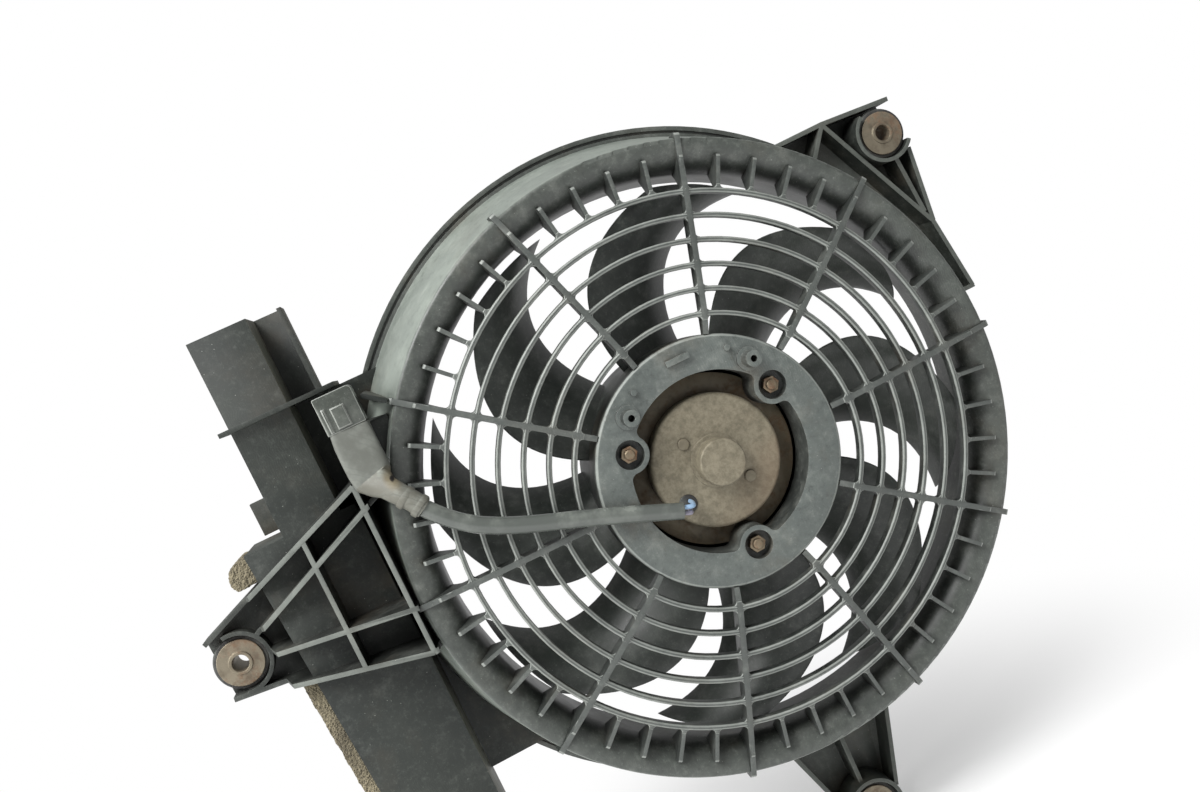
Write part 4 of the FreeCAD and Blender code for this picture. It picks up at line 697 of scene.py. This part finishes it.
def guard_fillets():
    """A four-armed fillet at each crossing and a two-armed one at each short rib."""
    ways = ((1, 1), (-1, 1), (-1, -1), (1, -1))
    star = fillet_block("crossing_fillet",
                        fillet_plan(GUARD_BAR_HALF, SPOKE_HALF, KNUCKLE_FILLET, ways),
                        CROSSING_FRONT, CROSSING_REAR, KNUCKLE_EDGE)
    half_plan = fillet_plan(GUARD_BAR_HALF, SHORT_RIB_HALF, KNUCKLE_FILLET, ((1, 1), (1, -1)))
    upper, lower = half_plan[:FILLET_STEPS + 1], half_plan[FILLET_STEPS + 1:]
    inner = [(RIB_FILLET_INSIDE, upper[-1][1]), (RIB_FILLET_INSIDE, lower[0][1])]
    half_plan = upper + inner + lower
    tee = fillet_block("rib_fillet", half_plan, RIB_FRONT, RIB_REAR, KNUCKLE_EDGE)

    grow = Grower("crossing_fillets", spokes=SPOKES, rings=GUARD_RINGS,
                  outer=GUARD_RING_RADIUS, pitch=GUARD_RING_PITCH,
                  dome=GUARD_DOME_RADIUS, front=at(0))
    index = grow.index()
    spoke = grow.turn("FLOOR", (index + 0.5) / grow["rings"])
    ring = index - spoke * grow["rings"]
    radius = grow["outer"] - ring * grow["pitch"]
    angle = spoke * math.tau / grow["spokes"]
    depth = grow["front"] + (radius * radius - grow["outer"] * grow["outer"]) / (
        grow["dome"] * 2.0)
    grow.grown(grow.scatter(
        grow["spokes"] * grow["rings"],
        grow.point(radius * grow.turn("COSINE", angle), depth,
                   radius * grow.turn("SINE", angle)),
        grow.point(0.0, angle * -1.0, 0.0), star), "guard_grille")

    grow = Grower("rib_fillets", spokes=SPOKES, ribs=SHORT_RIBS, outer=GUARD_RING_RADIUS,
                  front=at(0))
    index = grow.index()
    spoke = grow.turn("FLOOR", (index + 0.5) / grow["ribs"])
    place = index - spoke * grow["ribs"] + 1.0
    angle = (spoke + place / (grow["ribs"] + 1.0)) * math.tau / grow["spokes"]
    grow.grown(grow.scatter(
        grow["spokes"] * grow["ribs"],
        grow.point(grow["outer"] * grow.turn("COSINE", angle), grow["front"],
                   grow["outer"] * grow.turn("SINE", angle)),
        grow.point(0.0, angle * -1.0, 0.0), tee), "guard_grille")
    for template in (star, tee):
        bpy.data.objects.remove(template)


# Threads and springs

def helix(grow):
    """A wire wound round z, from the tree's radius, pitch, turns and wire."""
    spiral = grow.node("GeometryNodeCurveSpiral", None, {
        "Resolution": 24, "Rotations": grow["turns"], "Start Radius": grow["radius"],
        "End Radius": grow["radius"], "Height": grow["pitch"] * grow["turns"]})
    section = grow.node("GeometryNodeCurvePrimitiveCircle", None, {
        "Resolution": 6, "Radius": grow["wire"]})
    return grow.node("GeometryNodeCurveToMesh", None, {
        "Curve": spiral, "Profile Curve": section, "Fill Caps": True})


def stud_threads():
    """The thread that shows on each stud in front of its nut."""
    grow = Grower("stud_threads", count=3, circle=STUD_CIRCLE, first=math.radians(30),
                  start=at(NUT_FRONT - 0.1 * MM), radius=STUD_RADIUS, pitch=0.7 * MM, turns=1.9,
                  wire=0.2 * MM)
    angle = grow["first"] + grow.index() * math.tau / grow["count"]
    place = grow.point(grow["circle"] * grow.turn("COSINE", angle), grow["start"],
                       grow["circle"] * grow.turn("SINE", angle))
    facing_front = grow.point(math.pi / 2, 0.0, 0.0)
    grow.grown(grow.scatter(grow["count"], place, facing_front, helix(grow)), "mount_studs")


def shaft_thread():
    """The thread on the end of the shaft, behind the fan's nut."""
    grow = Grower("shaft_thread", start=at(FAN_NUT_REAR + 0.1 * MM), radius=SHAFT_THREAD_RADIUS,
                  pitch=0.9 * MM, turns=1.9, wire=0.22 * MM)
    facing_rear = grow.point(-math.pi / 2, 0.0, 0.0)
    grow.grown(grow.scatter(1, grow.point(0.0, grow["start"], 0.0), facing_rear, helix(grow)),
               "motor_shaft")


def brush_spring_coils():
    """A coil spring behind each carbon brush, in the place of the plain rods."""
    rods = [vertex.co.copy() for vertex in frame["nodes"]["brush_springs"].data.vertices]
    for number, side in enumerate((1, -1), 1):
        rod = [point for point in rods if point.x * side > 0]
        middle = sum(rod, Vector()) / len(rod)
        away = Vector((middle.x, 0, middle.z)).normalized()
        reach = [point.dot(away) for point in rod]
        start = away * min(reach)
        lean = math.atan2(away.x, away.z)
        turns = 6.5
        wire = 0.28 * MM
        grow = Grower(f"brush_spring_{number}", x=start.x, y=middle.y, z=start.z,
                      radius=SPRING_RADIUS - wire, turns=turns, wire=wire,
                      pitch=(max(reach) - min(reach)) / turns, lean=lean)
        coil = grow.scatter(1, grow.point(grow["x"], grow["y"], grow["z"]),
                            grow.point(0.0, grow["lean"], 0.0), helix(grow))
        piece = grow.grown(coil, "brush_springs")
        if number == 1:
            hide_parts("brush_springs")


# Connector body, boot and lead

# Each section of the soft body and boot: x and z of its middle, its depth, half of its width and
# half of its thickness, and how square it is.
BOOT_SECTIONS = (
    (-160.8, 96.9, -0.9, 9.9, 5.1, 6.0),
    (-161.0, 90.0, -0.9, 10.3, 5.3, 5.0),
    (-161.2, 82.0, -0.9, 10.4, 5.4, 4.5),
    (-161.2, 74.5, -1.1, 10.4, 5.6, 4.4),
    (-161.0, 69.6, -1.8, 10.0, 5.9, 4.0),
    (-159.2, 66.6, -3.8, 7.6, 6.0, 3.0),
    (-156.6, 63.0, -6.8, 5.8, 5.7, 2.4),
    (-153.0, 58.4, -10.6, 5.4, 5.4, 2.1),
    (-148.6, 53.0, -12.3, 5.3, 5.3, 2.0),
    (-146.6, 49.6, -12.6, 5.3, 5.3, 2.0),
    (-145.1, 47.1, -12.6, 5.3, 5.3, 2.0),
)
BOOT_SPLIT = 4
BOOT_POINTS = 40
BOOT_DENT = 0.02
BOOT_SWELL = 0.015

# The two bands on the boot: how far each lies from its end, and a band's profile, as pairs of the
# place along the boot and the share of the height
BAND_ENDS = (0.4 * MM, 8.4 * MM)
BAND_HALF = 1.7 * MM
BAND_HEIGHT = 0.9 * MM
BAND_PROFILE = ((-1.7, 0.2), (-1.5, 0.75), (-0.8, 1.0), (0.8, 1.0), (1.5, 0.75), (1.7, 0.2))
BAND_POINTS = 32
BOOT_END_RADIUS = 5.2 * MM
LEAD_ROUTE = ((-145.0, 47.0), (-135.5, 34.5), (-113.0, 20.3), (-64.2, 2.5), (-30.5, -12.2))


def boot_ring(index, sections):
    """One rounded section, square to the line through its neighbours."""
    x, z, depth, wide, thick, square = sections[index]
    before = sections[max(index - 1, 0)]
    after = sections[min(index + 1, len(sections) - 1)]
    along = Vector((after[0] - before[0], after[2] - before[2], after[1] - before[1])).normalized()
    side = Vector((0, 1, 0)).cross(along).normalized()
    face = along.cross(side).normalized()
    middle = Vector((x * MM, at(depth * MM), z * MM))
    ring = []
    for step in range(BOOT_POINTS):
        turn = math.tau * step / BOOT_POINTS
        across = math.copysign(abs(math.cos(turn)) ** (2 / square), math.cos(turn))
        deep = math.copysign(abs(math.sin(turn)) ** (2 / square), math.sin(turn))
        # five shallow dents round each section, and one section a little larger than the next
        dent = 1 + BOOT_DENT * math.sin(5 * turn + index * 1.7) + BOOT_SWELL * math.sin(index * 2.9)
        ring.append(middle + (side * wide * across + face * thick * deep) * (MM * dent))
    return ring


def connector_soft_parts():
    rings = [boot_ring(index, BOOT_SECTIONS) for index in range(len(BOOT_SECTIONS))]
    finished("connector_body_skin", lofted("connector_body_skin", rings[:BOOT_SPLIT + 1]),
             "connector_body")
    boot = rings[BOOT_SPLIT:]
    finished("boot_skin", lofted("boot_skin", boot), "cable_boot")
    boot_bands(rings[-1], rings[-4])


def boot_bands(last, before):
    """Two raised bands round the end of the boot, square to the line between two of its rings."""
    middle = sum((Vector(point) for point in last), Vector()) / BOOT_POINTS
    neck = sum((Vector(point) for point in before), Vector()) / BOOT_POINTS
    along = (middle - neck).normalized()
    side = (Vector(last[0]) - middle).normalized()
    face = along.cross(side)
    for number, end in enumerate(BAND_ENDS, 1):
        rings = []
        for shift, swell in BAND_PROFILE:
            centre = middle - along * (end + BAND_HALF - shift * MM)
            radius = BOOT_END_RADIUS + BAND_HEIGHT * swell
            rings.append([centre + (side * math.cos(math.tau * step / BAND_POINTS)
                                    + face * math.sin(math.tau * step / BAND_POINTS)) * radius
                          for step in range(BAND_POINTS)])
        finished(f"boot_band_{number}", lofted(f"boot_band_{number}", rings), "cable_boot",
                 replaces=False)


def lead_sleeve():
    """The smooth sleeve between the boot and the motor's two wires."""
    curve = bpy.data.curves.new("lead_sleeve", "CURVE")
    curve.dimensions = "3D"
    spline = curve.splines.new("NURBS")
    spline.points.add(len(LEAD_ROUTE) - 1)
    for point, (x, z) in zip(spline.points, LEAD_ROUTE):
        point.co = (x * MM, at(LEAD_DEPTH), z * MM, 1.0)
    spline.order_u = 3
    spline.use_endpoint_u = True
    spline.resolution_u = 16
    curve.bevel_depth = LEAD_RADIUS
    curve.bevel_resolution = 8
    curve.use_fill_caps = True
    sleeve = bpy.data.objects.new("lead_sleeve", curve)
    bpy.context.scene.collection.objects.link(sleeve)
    dress(sleeve, "cable_sleeve")
    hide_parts("cable_sleeve")


FOAM_VOXEL = 0.95 * MM

# Name, size in mm and strength in mm of each pattern pressed into the foam
FOAM_PATTERNS = (("lumps", 9.0, 0.7), ("pores", 1.3, 1.1))


def foam_strips():
    """Soft torn foam with open pores."""
    mesh = frame["nodes"]["foam_seal"].data.copy()
    piece = new_piece("foam_skin", mesh)
    merge = piece.modifiers.new("merge", "WELD")
    merge.merge_threshold = MERGE_REACH
    skin = piece.modifiers.new("skin", "REMESH")
    skin.mode = "VOXEL"
    skin.voxel_size = FOAM_VOXEL
    soften = piece.modifiers.new("soften", "SMOOTH")
    soften.factor = 0.6
    soften.iterations = 6
    for name, size, strength in FOAM_PATTERNS:
        pattern = bpy.data.textures.new(name, "CLOUDS")
        pattern.noise_scale = size * MM
        pattern.noise_depth = 1
        press = piece.modifiers.new(name, "DISPLACE")
        press.texture = pattern
        press.texture_coords = "LOCAL"
        press.strength = strength * MM
        press.mid_level = 0.75
    baked(piece)
    piece.data.shade_flat()
    dress(piece, "foam_seal")
    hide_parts("foam_seal")


# How far edges are rounded: the usual amount, and that of each node which has its own
USUAL_EDGE = 0.35 * MM
EDGE = {"guard_grille": 0.6 * MM, "motor_ring": 0.8 * MM, "connector_cover": 1.6 * MM,
        "shroud_ring": 0.4 * MM, "fan_rotor": 0.4 * MM, "motor_end_cap": 0.3 * MM,
        "mount_sleeves": 0.5 * MM, "mount_grommets": 0.8 * MM, "cap_rivets": 0.5 * MM}
REMADE = ("foam_seal", "connector_body", "cable_boot", "cable_sleeve", "brush_springs")

for node in frame["nodes"]:
    if node not in REMADE:
        softened(node, EDGE.get(node, USUAL_EDGE), 3 if node in EDGE else 2)
guard_fillets()
stud_threads()
shaft_thread()
brush_spring_coils()
connector_soft_parts()
lead_sleeve()
foam_strips()

# Studio

STAGE_COLOUR = (0.9, 0.9, 0.9, 1.0)
SHEET_REACH = 6.0
SHADOW_REACH = 0.42
ROOM_LIGHT = 0.46
LAMP_TARGET = (0, -0.03, 0)


def stage_sheet():
    """Plain pale floor under the object's lowest point, which fades to the white of the room."""
    low = min(corner[2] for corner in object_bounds())
    mesh = bpy.data.meshes.new("floor")
    mesh.from_pydata([(-SHEET_REACH, -SHEET_REACH, low), (SHEET_REACH, -SHEET_REACH, low),
                      (SHEET_REACH, SHEET_REACH, low), (-SHEET_REACH, SHEET_REACH, low)],
                     [], [(0, 1, 2, 3)])
    floor = new_piece("floor", mesh)
    shade = Shade("floor_paint")
    floor.data.materials.append(shade.finish(Base_Color=STAGE_COLOUR, Roughness=0.9))
    glow = shade.node("ShaderNodeEmission", None, {"Color": (1.0, 1.0, 1.0, 1.0), "Strength": 1.0})
    away = shade.node("ShaderNodeVectorMath", {"operation": "LENGTH"}, {0: shade.place()}, "Value")
    seen = shade.node("ShaderNodeLightPath", output="Is Camera Ray")
    fade = shade.step(away, SHADOW_REACH * 0.45, SHADOW_REACH) * seen
    blend = shade.tree.nodes.new("ShaderNodeMixShader")
    shade.feed(blend.inputs[0], fade)
    shade.tree.links.new(shade.shader.outputs[0], blend.inputs[1])
    shade.feed(blend.inputs[2], glow)
    shade.tree.links.new(blend.outputs[0], shade.tree.nodes["Material Output"].inputs[0])
    floor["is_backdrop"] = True


def soft_lamp(name, place, size, power):
    """A square lamp that looks at the middle of the object."""
    lamp = bpy.data.lights.new(name, "AREA")
    lamp.shape = "SQUARE"
    lamp.size = size
    lamp.energy = power
    stand = bpy.data.objects.new(name, lamp)
    bpy.context.scene.collection.objects.link(stand)
    stand.location = place
    look = Vector(LAMP_TARGET) - Vector(place)
    stand.rotation_euler = look.to_track_quat("-Z", "Y").to_euler()


def room():
    """An even white surround, which is also what the camera and the gloss see."""
    world = bpy.data.worlds.new("room")
    world.use_nodes = True
    background = world.node_tree.nodes["Background"]
    path = world.node_tree.nodes.new("ShaderNodeLightPath")
    seen = world.node_tree.nodes.new("ShaderNodeMath")
    seen.operation = "MULTIPLY_ADD"
    world.node_tree.links.new(path.outputs["Is Camera Ray"], seen.inputs[0])
    seen.inputs[1].default_value = 1 - ROOM_LIGHT
    seen.inputs[2].default_value = ROOM_LIGHT
    background.inputs["Color"].default_value = (1.0, 1.0, 1.0, 1.0)
    world.node_tree.links.new(seen.outputs[0], background.inputs["Strength"])
    bpy.context.scene.world = world


stage_sheet()
room()
soft_lamp("key_lamp", (-0.75, -0.85, 1.25), size=0.8, power=36)
soft_lamp("side_lamp", (-1.5, -0.25, 0.55), size=0.7, power=14)

# Camera at the photograph's place: 527 mm in front of the guard, turned 9 degrees to the left,
# raised 6 degrees and rolled 25 degrees
CAMERA_PLACE = (-123.89 * MM, at(-527.14 * MM), 111.30 * MM)
CAMERA_RIGHT = (0.8892, -0.1809, -0.4202)
CAMERA_UP = (0.4314, 0.0254, 0.9018)
CAMERA_LENS = 31.68

camera = bpy.data.cameras.new("camera")
camera.lens = CAMERA_LENS
camera.sensor_width = 36.0
camera.clip_start = 0.01
eye = bpy.data.objects.new("camera", camera)
bpy.context.scene.collection.objects.link(eye)
right = Vector(CAMERA_RIGHT).normalized()
back = right.cross(Vector(CAMERA_UP)).normalized()
up = back.cross(right)
axes = Matrix((right, up, back)).transposed()
eye.matrix_world = Matrix.Translation(CAMERA_PLACE) @ axes.to_4x4()
bpy.context.scene.camera = eye
bpy.context.scene.view_settings.view_transform = "Standard"
